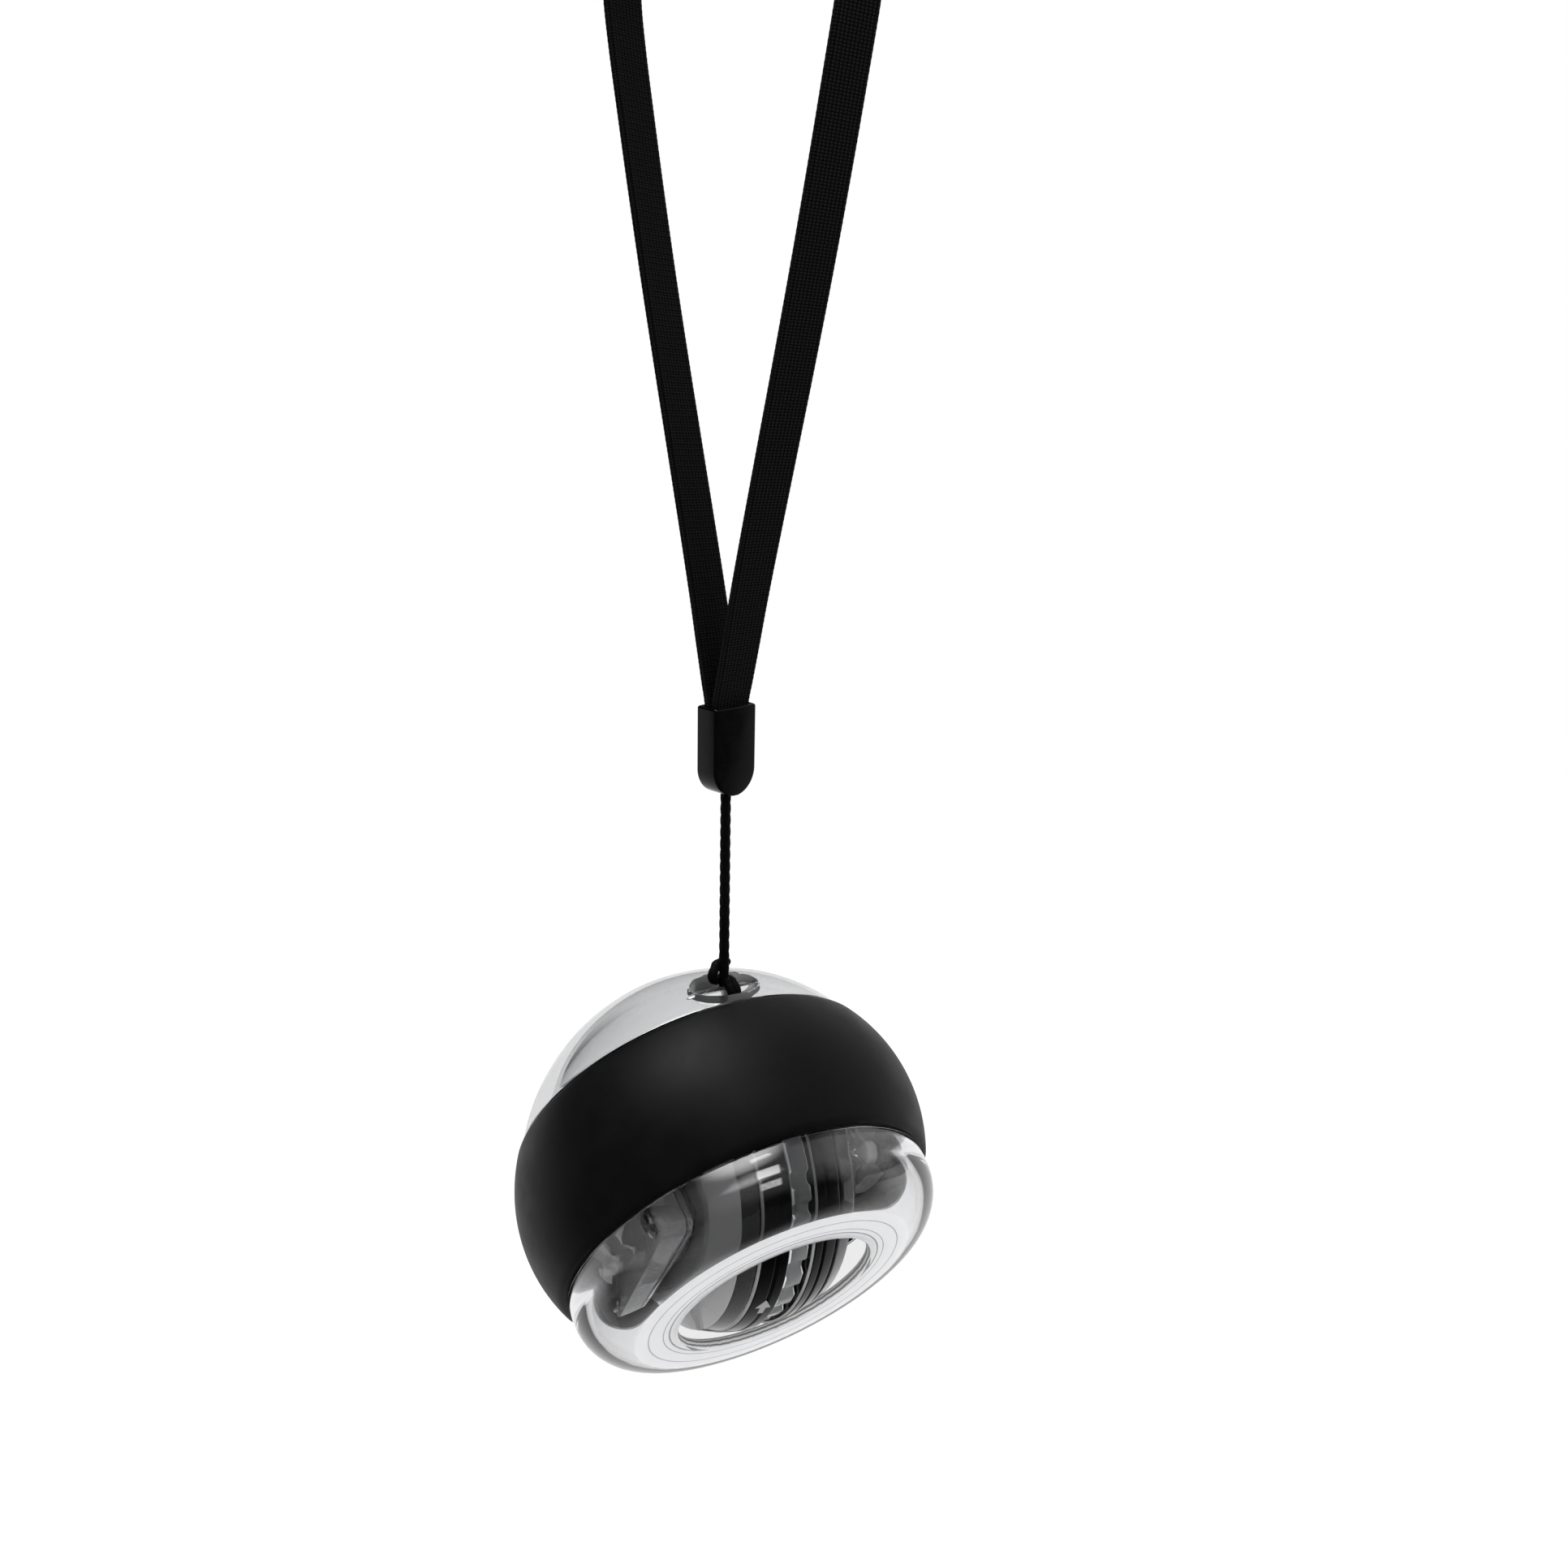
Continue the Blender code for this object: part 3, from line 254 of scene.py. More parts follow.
CAMERA_PLACE = (8.616 * MM, -209.17 * MM, -70.04 * MM)
CAMERA_TILT = math.radians(75.0)  # up from straight down
CAMERA_ROLL = math.radians(1.2)
CAMERA_LENS = 33.54


def make_camera():
    data = bpy.data.cameras.new("camera")
    data.sensor_width = 36.0
    data.lens = CAMERA_LENS
    data.clip_start = 0.002
    data.clip_end = 20.0
    camera = bpy.data.objects.new("camera", data)
    scene.collection.objects.link(camera)
    turn = Matrix.Rotation(CAMERA_TILT, 4, "X") @ Matrix.Rotation(CAMERA_ROLL, 4, "Z")
    camera.matrix_world = Matrix.Translation(CAMERA_PLACE) @ turn
    scene.camera = camera


make_camera()


# Shader trees

def plug(tree, socket, value):
    if isinstance(value, bpy.types.NodeSocket):
        tree.links.new(value, socket)
    else:
        socket.default_value = value


def add(tree, kind, inputs=None, **settings):
    node = tree.nodes.new("ShaderNode" + kind)
    for key, value in settings.items():
        setattr(node, key, value)
    for key, value in (inputs or {}).items():
        plug(tree, node.inputs[key], value)
    return node


def finish_of(name, **values):
    """A material with its Principled shader set: (material, tree, shader)."""
    made = bpy.data.materials.new(name)
    made.use_nodes = True
    shader = made.node_tree.nodes["Principled BSDF"]
    for key, value in values.items():
        shader.inputs[key.replace("_", " ")].default_value = value
    return made, made.node_tree, shader


def place_of(tree):
    return add(tree, "TexCoord").outputs["Object"]


def lay_of(tree):
    """The UV map, in millimetres on every piece that has one."""
    return add(tree, "TexCoord").outputs["UV"]


def grain(tree, scale, detail, rough, vector=None):
    inputs = {"Vector": vector or place_of(tree), "Scale": scale, "Detail": detail, "Roughness": rough}
    return add(tree, "TexNoise", inputs).outputs["Fac"]


def maths(tree, operation, *values):
    node = add(tree, "Math", operation=operation)
    for socket, value in zip(node.inputs, values):
        plug(tree, socket, value)
    return node.outputs[0]


def ranged(tree, value, low, high, start=0.0, end=1.0, **settings):
    """From low to high while the value goes from start to end."""
    inputs = {"Value": value, "From Min": start, "From Max": end, "To Min": low, "To Max": high}
    return add(tree, "MapRange", inputs, **settings).outputs["Result"]


def blended(tree, factor, first, second):
    node = add(tree, "Mix", {"Factor": factor}, data_type="RGBA")
    plug(tree, node.inputs[6], first)
    plug(tree, node.inputs[7], second)
    return node.outputs[2]


def bumped(tree, height, strength, distance):
    inputs = {"Height": height, "Strength": strength, "Distance": distance}
    return add(tree, "Bump", inputs).outputs["Normal"]


def sum_of(tree, first, second, share):
    """The first value and a share of the second."""
    return maths(tree, "MULTIPLY_ADD", second, share, first)


def waves(tree, vector, period, across="Y", distortion=0.0):
    """Even lines with this period, from 0 to 1 and back."""
    inputs = {"Vector": vector, "Scale": 2 * math.pi / 20 / period, "Distortion": distortion}
    return add(tree, "TexWave", inputs, bands_direction=across, wave_profile="SIN").outputs["Fac"]


def grey(value, blue=0.0):
    return (value, value * (1 + blue * 0.5), value * (1 + blue), 1.0)


def dress(tree, shader, colour, roughness, normal):
    plug(tree, shader.inputs["Base Color"], colour)
    plug(tree, shader.inputs["Roughness"], roughness)
    plug(tree, shader.inputs["Normal"], normal)


def clear_finish(name, tint, density, haze, ripple=0.05, through=1.0, colour=0.985):
    """Moulded clear plastic: faint ripple, fine scuffs, a tint that shows where it is thick."""
    made, tree, shader = finish_of(name, IOR=1.57, Transmission_Weight=through)
    scuff = grain(tree, 1400, 6, 0.7)
    cloud = grain(tree, 240, 3, 0.6)
    shade = blended(tree, cloud, grey(colour, 0.004), grey(colour * 0.96, 0.004))
    sway = grain(tree, 120, 1, 0.4)
    roughness = ranged(tree, scuff, haze * 0.3, haze, 0.35, 0.75)
    dress(tree, shader, shade, roughness, bumped(tree, sway, ripple, 0.4 * MM))
    body = add(tree, "VolumeAbsorption", {"Color": (*tint, 1.0), "Density": density})
    tree.links.new(body.outputs[0], tree.nodes["Material Output"].inputs["Volume"])
    return made


def frosted_finish(name, low, high, through, lines=0.0):
    """Blasted or light-scattering plastic, cloudy, or with fine turned lines where their period is given. It
    also paints highlights on edges and shade in the lip's lines.
    """
    made, tree, shader = finish_of(name, IOR=1.57, Specular_IOR_Level=0.3, Transmission_Weight=through)
    blasted = grain(tree, 5200, 3, 0.6)
    if lines:
        pattern = waves(tree, lay_of(tree), lines, "Y", 1.5)
    else:
        pattern = grain(tree, 300, 3, 0.6)
    shade = blended(tree, pattern, grey(high, 0.003), grey(low, 0.005))
    roughness = ranged(tree, blasted, 0.4, 0.6, 0.3, 0.7)
    dress(tree, shader, shade, roughness, bumped(tree, blasted, 0.2, 0.03 * MM))
    return made


def rubber_finish():
    made, tree, shader = finish_of("grip_rubber", Specular_IOR_Level=0.09)
    cloud = grain(tree, 180, 3, 0.6)
    fine = grain(tree, 5200, 3, 0.6)
    shade = blended(tree, cloud, grey(0.0010, 0.1), grey(0.0022, 0.1))
    roughness = ranged(tree, sum_of(tree, cloud, fine, 0.5), 0.40, 0.54, 0.4, 1.1)
    dress(tree, shader, shade, roughness, bumped(tree, fine, 0.22, 0.05 * MM))
    return made


def weave_finish():
    """Woven polyester tape, with a painted sheen: the crests of its weave are lighter, its hollows darker.
    The UV map is in millimetres: x across, y along.
    """
    made, tree, shader = finish_of("strap_tape", Specular_IOR_Level=0.05)
    lay = lay_of(tree)
    wales = waves(tree, lay, 0.62, "X")
    picks = waves(tree, lay, 0.40, "Y", 0.4)
    fuzz = grain(tree, 3800, 4, 0.7)
    height = sum_of(tree, maths(tree, "MULTIPLY", wales, picks), fuzz, 0.35)
    # Painted sheen and shade: colour follows the weave's height, light on the crests and dark in the hollows.
    shade = blended(tree, ranged(tree, height, 0, 1, 0.1, 1.1), grey(0.0002), grey(0.0050, 0.04))
    dress(tree, shader, shade, ranged(tree, fuzz, 0.62, 0.86), bumped(tree, height, 0.7, 0.10 * MM))
    return made


def cord_finish():
    made, tree, shader = finish_of("cord_braid", Specular_IOR_Level=0.05)
    fuzz = grain(tree, 6000, 4, 0.7)
    shade = blended(tree, fuzz, grey(0.0003), grey(0.0016))
    dress(tree, shader, shade, ranged(tree, fuzz, 0.5, 0.75), bumped(tree, fuzz, 0.5, 0.06 * MM))
    return made


def gloss_finish():
    """Glossy black moulding of the cap, with handling marks in its gloss."""
    made, tree, shader = finish_of("cap_gloss", Specular_IOR_Level=0.10)
    smear = grain(tree, 420, 5, 0.65)
    soft = grain(tree, 260, 2, 0.5)
    shade = blended(tree, smear, grey(0.0006), grey(0.0014, 0.05))
    roughness = ranged(tree, smear, 0.084, 0.21, 0.3, 0.7)
    dress(tree, shader, shade, roughness, bumped(tree, soft, 0.10, 0.15 * MM))
    return made


def lacquer_finish():
    """Black lacquer over turned metal, with fine lines round the axis. The UV map is in millimetres."""
    made, tree, shader = finish_of("weight_lacquer", Specular_IOR_Level=0.16)
    lay = lay_of(tree)
    lines = waves(tree, lay, 0.16, "Y", 0.6)
    stretched = add(tree, "Mapping", {"Vector": lay, "Scale": (0.02, 9.0, 1.0)}).outputs[0]
    streaks = grain(tree, 1.0, 3, 0.6, stretched)
    smear = grain(tree, 300, 4, 0.6)
    shade = blended(tree, ranged(tree, smear, 0, 1, 0.4, 0.75), grey(0.0008), grey(0.0020, 0.05))
    roughness = ranged(tree, sum_of(tree, smear, streaks, 0.6), 0.084, 0.168, 0.5, 1.1)
    dress(tree, shader, shade, roughness, bumped(tree, sum_of(tree, streaks, lines, 0.5), 0.08, 0.02 * MM))
    return made


def metal_finish(name, colour, wear_and_edge_sheen, haze):
    """Machined metal for the small parts, with stained and rubbed patches."""
    made, tree, shader = finish_of(name, Metallic=1.0)
    stain = grain(tree, 900, 5, 0.6)
    shade = blended(tree, ranged(tree, stain, 0, 1, 0.4, 0.7), colour, wear_and_edge_sheen)
    roughness = ranged(tree, stain, haze * 0.7, haze * 1.5, 0.3, 0.7)
    scratch = add(tree, "Mapping", {"Vector": place_of(tree), "Scale": (1.0, 1.0, 14.0)}).outputs[0]
    dress(tree, shader, shade, roughness, bumped(tree, grain(tree, 700, 3, 0.6, scratch), 0.15, 0.03 * MM))
    return made


def moulded_finish(name, colour, wear_and_edge_sheen, haze, scatter=0.0):
    """Opaque moulded plastic with a fine spark-eroded grain."""
    made, tree, shader = finish_of(name, Subsurface_Weight=scatter, Subsurface_Scale=0.6 * MM)
    cloud = grain(tree, 260, 3, 0.6)
    fine = grain(tree, 6500, 2, 0.5)
    roughness = ranged(tree, fine, haze * 0.8, haze * 1.2, 0.3, 0.7)
    dress(tree, shader, blended(tree, cloud, colour, wear_and_edge_sheen), roughness, bumped(tree, fine, 0.18, 0.03 * MM))
    return made


# Clear plastics by tint, its density and haze. Frosted ones by darkest shade, lightest and see-through share.
CLEAR_SHELL = clear_finish("clear_shell", (0.80, 0.805, 0.81), 290.0, 0.03)
EYE_WALL = clear_finish("eye_wall", (0.80, 0.805, 0.81), 60.0, 0.10, ripple=0.3, through=0.84, colour=0.97)
CLEAR_RIM = clear_finish("clear_rim", (0.78, 0.78, 0.81), 110.0, 0.03)
CLEAR_GROOVE = clear_finish("clear_groove", (0.80, 0.82, 0.84), 90.0, 0.08, through=0.95, colour=0.90)
CLEAR_LID = clear_finish("clear_lid", (0.70, 0.71, 0.72), 160.0, 0.10, through=0.9)
SMOKE = clear_finish("smoke_plastic", (0.58, 0.56, 0.54), 220.0, 0.06, through=0.72, colour=0.62)
FLANK_ROUND = clear_finish("smoke_flank", (0.40, 0.40, 0.42), 500.0, 0.06, through=0.94, colour=0.3)
FLANK_SIDE = clear_finish("frosted_flank", (0.71, 0.70, 0.69), 120.0, 0.20, through=0.62, colour=0.48)
FROSTED = frosted_finish("frosted_lip", 0.93, 0.98, 0.0)
# Painted shade: dark turned lines for the lip's bore and for the rings on its underside.
LINES_AND_SHADE = frosted_finish("lip_lines_painted_shade", 0.06, 0.42, 0.25, lines=0.62)
# Painted highlight: pale side faces that show as thin light lines along the groove ring.
GROOVE_SIDE_HIGHLIGHT = frosted_finish("painted_groove_highlight", 0.60, 0.85, 0.1)
TICK_PRINT = frosted_finish("tick_print", 0.12, 0.18, 0.0)
# Painted sheen: lighter grey for the weights' chamfered edges.
EDGE_SHEEN = frosted_finish("painted_edge_sheen", 0.10, 0.22, 0.0)
RUBBER = rubber_finish()
WEAVE = weave_finish()
BRAID = cord_finish()
CAP_GLOSS = gloss_finish()
LACQUER = lacquer_finish()
STEEL = metal_finish("steel", grey(0.55, 0.02), grey(0.40, 0.03), 0.24)
SPRING_STEEL = metal_finish("spring_steel", grey(0.34, 0.05), grey(0.22, 0.03), 0.22)
PLATED = metal_finish("plated_brass", (0.50, 0.49, 0.47, 1.0), (0.36, 0.35, 0.33, 1.0), 0.26)
DARK = moulded_finish("dark_plastic", grey(0.020), grey(0.035), 0.38)
WHITE = moulded_finish("white_plastic", grey(0.66, 0.01), grey(0.58, 0.01), 0.36, scatter=0.15)


# Mesh building

def arc(centre, radius, start, end, steps):
    angles = [math.radians(start + (end - start) * i / steps) for i in range(steps + 1)]
    return [(centre[0] + radius * math.cos(a), centre[1] + radius * math.sin(a)) for a in angles]


def spread(first, last, steps):
    return [first + (last - first) * i / steps for i in range(steps + 1)]


def softened(outline, radius, steps=3):
    """A closed outline with its sharp corners rounded."""
    soft = []
    count = len(outline)
    for i in range(count):
        before = Vector(outline[i - 1])
        here = Vector(outline[i])
        after = Vector(outline[(i + 1) % count])
        back = before - here
        on = after - here
        if here.x <= 0 or back.length < 1e-9 or on.length < 1e-9 or back.angle(-on) < math.radians(14):
            soft.append(tuple(here))
            continue
        back *= min(radius / back.length, 0.35)
        on *= min(radius / on.length, 0.35)
        for t in spread(0, 1, steps):
            soft.append(tuple(here + back * (1 - t) ** 2 + on * t**2))
    return soft


def made_object(name, bm, matrix, material, angle=35.0):
    bmesh.ops.recalc_face_normals(bm, faces=bm.faces[:])
    mesh = bpy.data.meshes.new(name)
    bm.to_mesh(mesh)
    bm.free()
    mesh.transform(matrix)
    mesh.materials.append(material)
    mesh.shade_smooth()
    mesh.set_sharp_from_angle(angle=math.radians(angle))
    piece = bpy.data.objects.new(name, mesh)
    scene.collection.objects.link(piece)
    return piece


def measured(points):
    lengths = [0.0]
    for first, second in zip(points, points[1:]):
        lengths.append(lengths[-1] + math.dist(first, second))
    return lengths


def turned(section, angle):
    """A section of (radius, height) turned about Z by an angle."""
    return [(r * math.cos(angle), r * math.sin(angle), z) for r, z in section]


def chamfered(left, right, low, high, cut):
    """A rectangle with its corners cut off."""
    return [
        (left + cut, low), (right - cut, low), (right, low + cut), (right, high - cut),
        (right - cut, high), (left + cut, high), (left, high - cut), (left, low + cut),
    ]


def revolve(name, outline, steps, matrix, material, angle=35.0):
    """A closed outline of (radius, height) turned about Z. Its UV map is in millimetres."""
    bm = bmesh.new()
    layer = bm.loops.layers.uv.new("UVMap")
    lengths = [v / MM for v in measured([*outline, outline[0]])]
    girth = 2 * math.pi * max(r for r, z in outline) / MM
    poles = {k: bm.verts.new((0, 0, z)) for k, (r, z) in enumerate(outline) if r <= 1e-9}
    rows = []
    for i in range(steps):
        points = turned(outline, 2 * math.pi * i / steps)
        rows.append([poles.get(k) or bm.verts.new(point) for k, point in enumerate(points)])
    for i in range(steps):
        j = (i + 1) % steps
        for k in range(len(outline)):
            m = (k + 1) % len(outline)
            if k in poles and m in poles:
                continue
            corners = [(rows[i][k], i, k), (rows[j][k], i + 1, k)]
            corners += [(rows[j][m], i + 1, k + 1), (rows[i][m], i, k + 1)]
            if k in poles:
                corners.pop(1)
            if m in poles:
                corners.pop(3)
            face = bm.faces.new([c[0] for c in corners])
            for loop, (_, u, v) in zip(face.loops, corners):
                loop[layer].uv = (girth * u / steps, lengths[v])
    return made_object(name, bm, matrix, material, angle)


def lofted(name, rings, matrix, material, along=None, closed=False, angle=35.0):
    """Rings of as many points each, joined in order and capped, unless the last joins the first."""
    bm = bmesh.new()
    layer = bm.loops.layers.uv.new("UVMap")
    along = [v / MM for v in along] if along else [float(i) for i in range(len(rings) + 1)]
    around = [v / MM for v in measured([*rings[0], rings[0][0]])]
    loops = [[bm.verts.new(point) for point in ring] for ring in rings]
    count = len(loops[0])
    last = len(loops) if closed else len(loops) - 1
    for i in range(last):
        low, high = loops[i], loops[(i + 1) % len(loops)]
        for k in range(count):
            m = (k + 1) % count
            face = bm.faces.new((low[k], low[m], high[m], high[k]))
            places = ((k, i), (k + 1, i), (k + 1, i + 1), (k, i + 1))
            for loop, (u, v) in zip(face.loops, places):
                loop[layer].uv = (around[u], along[v])
    if not closed:
        for end in (loops[0][::-1], loops[-1]):
            face = bm.faces.new(end)
            for loop in face.loops:
                loop[layer].uv = (loop.vert.co.x / MM, loop.vert.co.y / MM)
    return made_object(name, bm, matrix, material, angle)


def prism(name, outline, low, high, matrix, material):
    return lofted(name, [[(x, y, z) for x, y in outline] for z in (low, high)], matrix, material)


def drum(radius, low, high):
    """The outline of a plain cylinder, for revolve()."""
    return [(0, low), (radius, low), (radius, high), (0, high)]


def rounded_square(half, corner, steps=6, half_y=None):
    """A square with round corners, or a rectangle where half_y is given."""
    half_y = half_y or half
    outline = []
    for turn, x, y in ((0, 1, 1), (90, -1, 1), (180, -1, -1), (270, 1, -1)):
        outline += arc((x * (half - corner), y * (half_y - corner)), corner, turn, turn + 90, steps)
    return outline


def joined_up(piece, steps, bevel=0.0, segments=2):
    """Applies Booleans with other objects, then rounds the sharp edges."""
    for operation, other in steps:
        modifier = piece.modifiers.new(operation, "BOOLEAN")
        modifier.operation = operation
        modifier.solver = "EXACT"
        modifier.object = other
    if bevel:
        modifier = piece.modifiers.new("bevel", "BEVEL")
        modifier.width = bevel
        modifier.segments = segments
        modifier.limit_method = "ANGLE"
        modifier.angle_limit = math.radians(40)
        modifier.use_clamp_overlap = True
    bpy.context.view_layer.update()
    depsgraph = bpy.context.evaluated_depsgraph_get()
    mesh = bpy.data.meshes.new_from_object(piece.evaluated_get(depsgraph))
    piece.modifiers.clear()
    piece.data = mesh
    mesh.shade_smooth()
    mesh.set_sharp_from_angle(angle=math.radians(35.0))
    for operation, other in steps:
        bpy.data.objects.remove(other, do_unlink=True)


def smooth_through(points, between):
    """A smooth curve through the points, with a few more between each two."""
    ends = [points[0] * 2 - points[1], *points, points[-1] * 2 - points[-2]]
    curve = []
    for before, start, end, after in zip(ends, ends[1:], ends[2:], ends[3:]):
        for i in range(between):
            t = i / between
            slope_in = (end - before) * 0.5
            slope_out = (after - start) * 0.5
            curve.append(
                start * (2 * t**3 - 3 * t**2 + 1) + slope_in * (t**3 - 2 * t**2 + t)
                + end * (3 * t**2 - 2 * t**3) + slope_out * (t**3 - t**2)
            )
    return [*curve, points[-1]]


def even_steps(points, pitch):
    """Points at an even pitch along a line."""
    lengths = measured(points)
    count = max(2, round(lengths[-1] / pitch))
    result = []
    k = 0
    for i in range(count + 1):
        want = lengths[-1] * i / count
        while k < len(points) - 2 and lengths[k + 1] < want:
            k += 1
        share = (want - lengths[k]) / max(lengths[k + 1] - lengths[k], 1e-12)
        result.append(points[k].lerp(points[k + 1], min(1.0, share)))
    return result


def swept(name, points, radius, matrix, tip=False):
    """A braided cord along the points, whose strands cross at an angle. With a tip, its end is round."""
    sides = 24
    tangent = (points[1] - points[0]).normalized()
    side = tangent.orthogonal().normalized()
    rings = []
    lengths = measured(points)
    for i, place in enumerate(points):
        ahead = points[min(i + 1, len(points) - 1)] - points[max(i - 1, 0)]
        turn = tangent.rotation_difference(ahead.normalized())
        side = turn @ side
        tangent = ahead.normalized()
        up = tangent.cross(side)
        shrink = 1.0
        if tip:
            left = min(lengths[-1] - lengths[i], radius) / radius
            shrink = math.sqrt(max(0.05, 1 - (1 - left) ** 2))
        lay = lengths[i] / radius * BRAID_LEAN
        ring = []
        for k in range(sides):
            a = 2 * math.pi * k / sides
            height = max(math.cos(4 * (a + lay)), math.cos(4 * (a - lay)))
            reach = (radius + BRAID_RISE * (height - 0.6)) * shrink
            ring.append(place + (side * math.cos(a) + up * math.sin(a)) * reach)
        rings.append(ring)
    return lofted(name, rings, matrix, BRAID, along=lengths, angle=60)


def paint(piece, finish, place, where):
    """Gives a finish to the faces whose centre and normal, in the place's own axes, pass the test."""
    number = len(piece.data.materials)
    piece.data.materials.append(finish)
    back = place.inverted()
    turn = back.to_3x3()
    for face in piece.data.polygons:
        if where(back @ face.center, turn @ face.normal):
            face.material_index = number


def stand_in(piece, node):
    """The piece rides on its node's body and is shown in place of the node."""
    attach(piece, frame["nodes"][node]["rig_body"])
    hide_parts(node)


# Strap, cap and cord

def strap_path():
    """Places along the strap's middle, its direction of width at each, and the length so far."""
    route = [*STRAP_ROUTE, (0.0, STRAP_TOP)]
    route += [(-across, height) for across, height in reversed(STRAP_ROUTE)]
    flat = smooth_through([Vector((across, 0, height)) for across, height in route], 24)
    facing = Vector((math.sin(STRAP_TURN), -math.cos(STRAP_TURN), 0))
    places = even_steps([facing * p.x + Vector((0, 0, p.z)) for p in flat], 0.2 * MM)
    along = measured(places)
    widths = []
    for length in along:
        turn = STRAP_TURN - STRAP_TWIST * math.sin(2 * math.pi * length / along[-1])
        widths.append(Vector((math.cos(turn), math.sin(turn), 0)))
    return places, widths, along


def tape_section():
    """Half of one face of the strap, as (across, share of the edge's rise, share of the ribs)."""
    half = STRAP_WIDTH / 2
    points = []
    for share in (0.0, 0.14, 0.28, 0.42, 0.56, 0.68, 0.74, 0.82, 0.90, 0.96):
        edge = max(0.0, (share - 0.70) / 0.12) if share < 0.86 else (1.0 - share) / 0.10
        edge = min(1.0, edge)
        points.append((share * half, edge, 1.0 if share < 0.72 else 0.45))
    return points


def make_strap():
    """Woven tape: ribs across it, a firmer edge on both sides."""
    places, widths, along = strap_path()
    section = tape_section()
    half_depth = STRAP_THICKNESS / 2
    rings = []
    for i, (place, width) in enumerate(zip(places, widths)):
        ahead = (places[min(i + 1, len(places) - 1)] - places[max(i - 1, 0)]).normalized()
        width = (width - ahead * width.dot(ahead)).normalized()
        through = ahead.cross(width)
        half = []
        for across, edge, rib in section:
            slant = 0.25 * MM * math.sin(across / STRAP_WIDTH * 2 * math.pi)
            wave = math.cos(2 * math.pi * (along[i] + slant) / RIB_PITCH)
            half.append((across, half_depth - TAPE_SINK + RIB_RISE * rib * wave + EDGE_RISE * edge))
        face = [(-x, t) for x, t in reversed(half[1:])] + half
        wave = math.cos(2 * math.pi * along[i] / RIB_PITCH)
        rim = width * (STRAP_WIDTH / 2 - EDGE_RISE + EDGE_RISE * wave)
        shoulder = through * half_depth * 0.45
        ring = [place + width * x + through * t for x, t in face]
        ring += [place + rim + shoulder, place + rim - shoulder]
        ring += [place + width * x - through * t for x, t in reversed(face)]
        ring += [place - rim - shoulder, place - rim + shoulder]
        rings.append(ring)
    strap = lofted("strap_webbing", rings, Matrix.Identity(4), WEAVE, along=along, angle=75)
    stand_in(strap, "wrist_strap")


def make_cap():
    """Glossy end cap: a U-shaped profile through its whole depth, a small rim and the cord's hole."""
    def section(height, half_width, half_depth):
        corner = min(CAP_EDGE, 0.9 * half_width)
        return [(x, y, height) for x, y in rounded_square(half_width, corner, 8, half_depth)]

    wide = CAP_WIDTH / 2 - 0.1 * MM
    deep = CAP_DEPTH / 2 - CAP_SLIM
    start = math.radians(12)
    rings = []
    for angle in spread(start, math.radians(90), 18):
        height = CAP_BOTTOM + CAP_SLIM + wide * (math.cos(start) - math.cos(angle))
        rings.append(section(height, wide * math.sin(angle), deep))
    for angle in spread(0, math.radians(90), 5):
        inset = CAP_RIM * (1 - math.cos(angle))
        rings.append(section(CAP_TOP - CAP_RIM * (1 - math.sin(angle)), wide - inset, deep - inset))
    cap = lofted("end_cap", rings, CAP, CAP_GLOSS)
    slot = rounded_square(STRAP_WIDTH / 2 + CLEAR, 0.4 * MM, 3, LAYER + STRAP_THICKNESS / 2 + CLEAR)
    cutter = prism("cap_slot", slot, CAP_TOP - STRAP_SEAT - CLEAR, CAP_TOP + RUN, CAP, CAP_GLOSS)
    hole = drum(CORD_RADIUS + CLEAR, CAP_BOTTOM - RUN, CORD_START + CLEAR)
    drill = revolve("cap_drill", hole, 32, Matrix.Identity(4), CAP_GLOSS)
    joined_up(cap, [("DIFFERENCE", cutter), ("DIFFERENCE", drill)], 0.12 * MM)
    stand_in(cap, "strap_cap")


def make_knot():
    """Two turns round the eye's bar, then a small open loop beside the cord, and the short end behind it."""
    top = CORD_END - BAR_HEIGHT
    points = [Vector((0, 0, top)), Vector((0.12 * MM, -0.2 * MM, top - 0.45 * MM))]
    for i in range(1, 23):
        angle = math.pi / 2 + 2 * math.pi * (i + 1) / 13
        across = (0.35 + 1.45 * i / 22) * MM
        points.append(Vector((across, HITCH_RADIUS * math.cos(angle), HITCH_RADIUS * math.sin(angle))))
    free = (
        (0.9, 1.5, 2.0), (-0.3, 1.2, 1.95), (-1.2, 0.6, 2.15), (-1.95, 0.1, 2.8), (-2.0, -0.1, 3.6),
        (-1.4, 0.3, 4.25), (-0.7, 1.15, 4.5), (0.6, 1.35, 4.6), (1.55, 0.8, 4.75),
    )
    points += [Vector(point) * MM for point in free]
    line = even_steps(smooth_through(points, 8), 0.12 * MM)
    knot = swept("eye_knot", line, DRAWN_KNOT, HITCH, tip=True)
    stand_in(knot, "cord_hitch")
    return knot


def make_cord(knot):
    """The taut cord, straight down. Its upper end stays in the cap."""
    heights = spread(CORD_START, CORD_END, 300)
    line = [Vector((0, 0, z)) for z in heights]
    cord = swept("lanyard_braid", line, DRAWN_CORD, Matrix.Identity(4))
    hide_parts("lanyard_cord")
    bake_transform(cord)


make_strap()
make_cap()
make_cord(make_knot())


# Shells and grip band

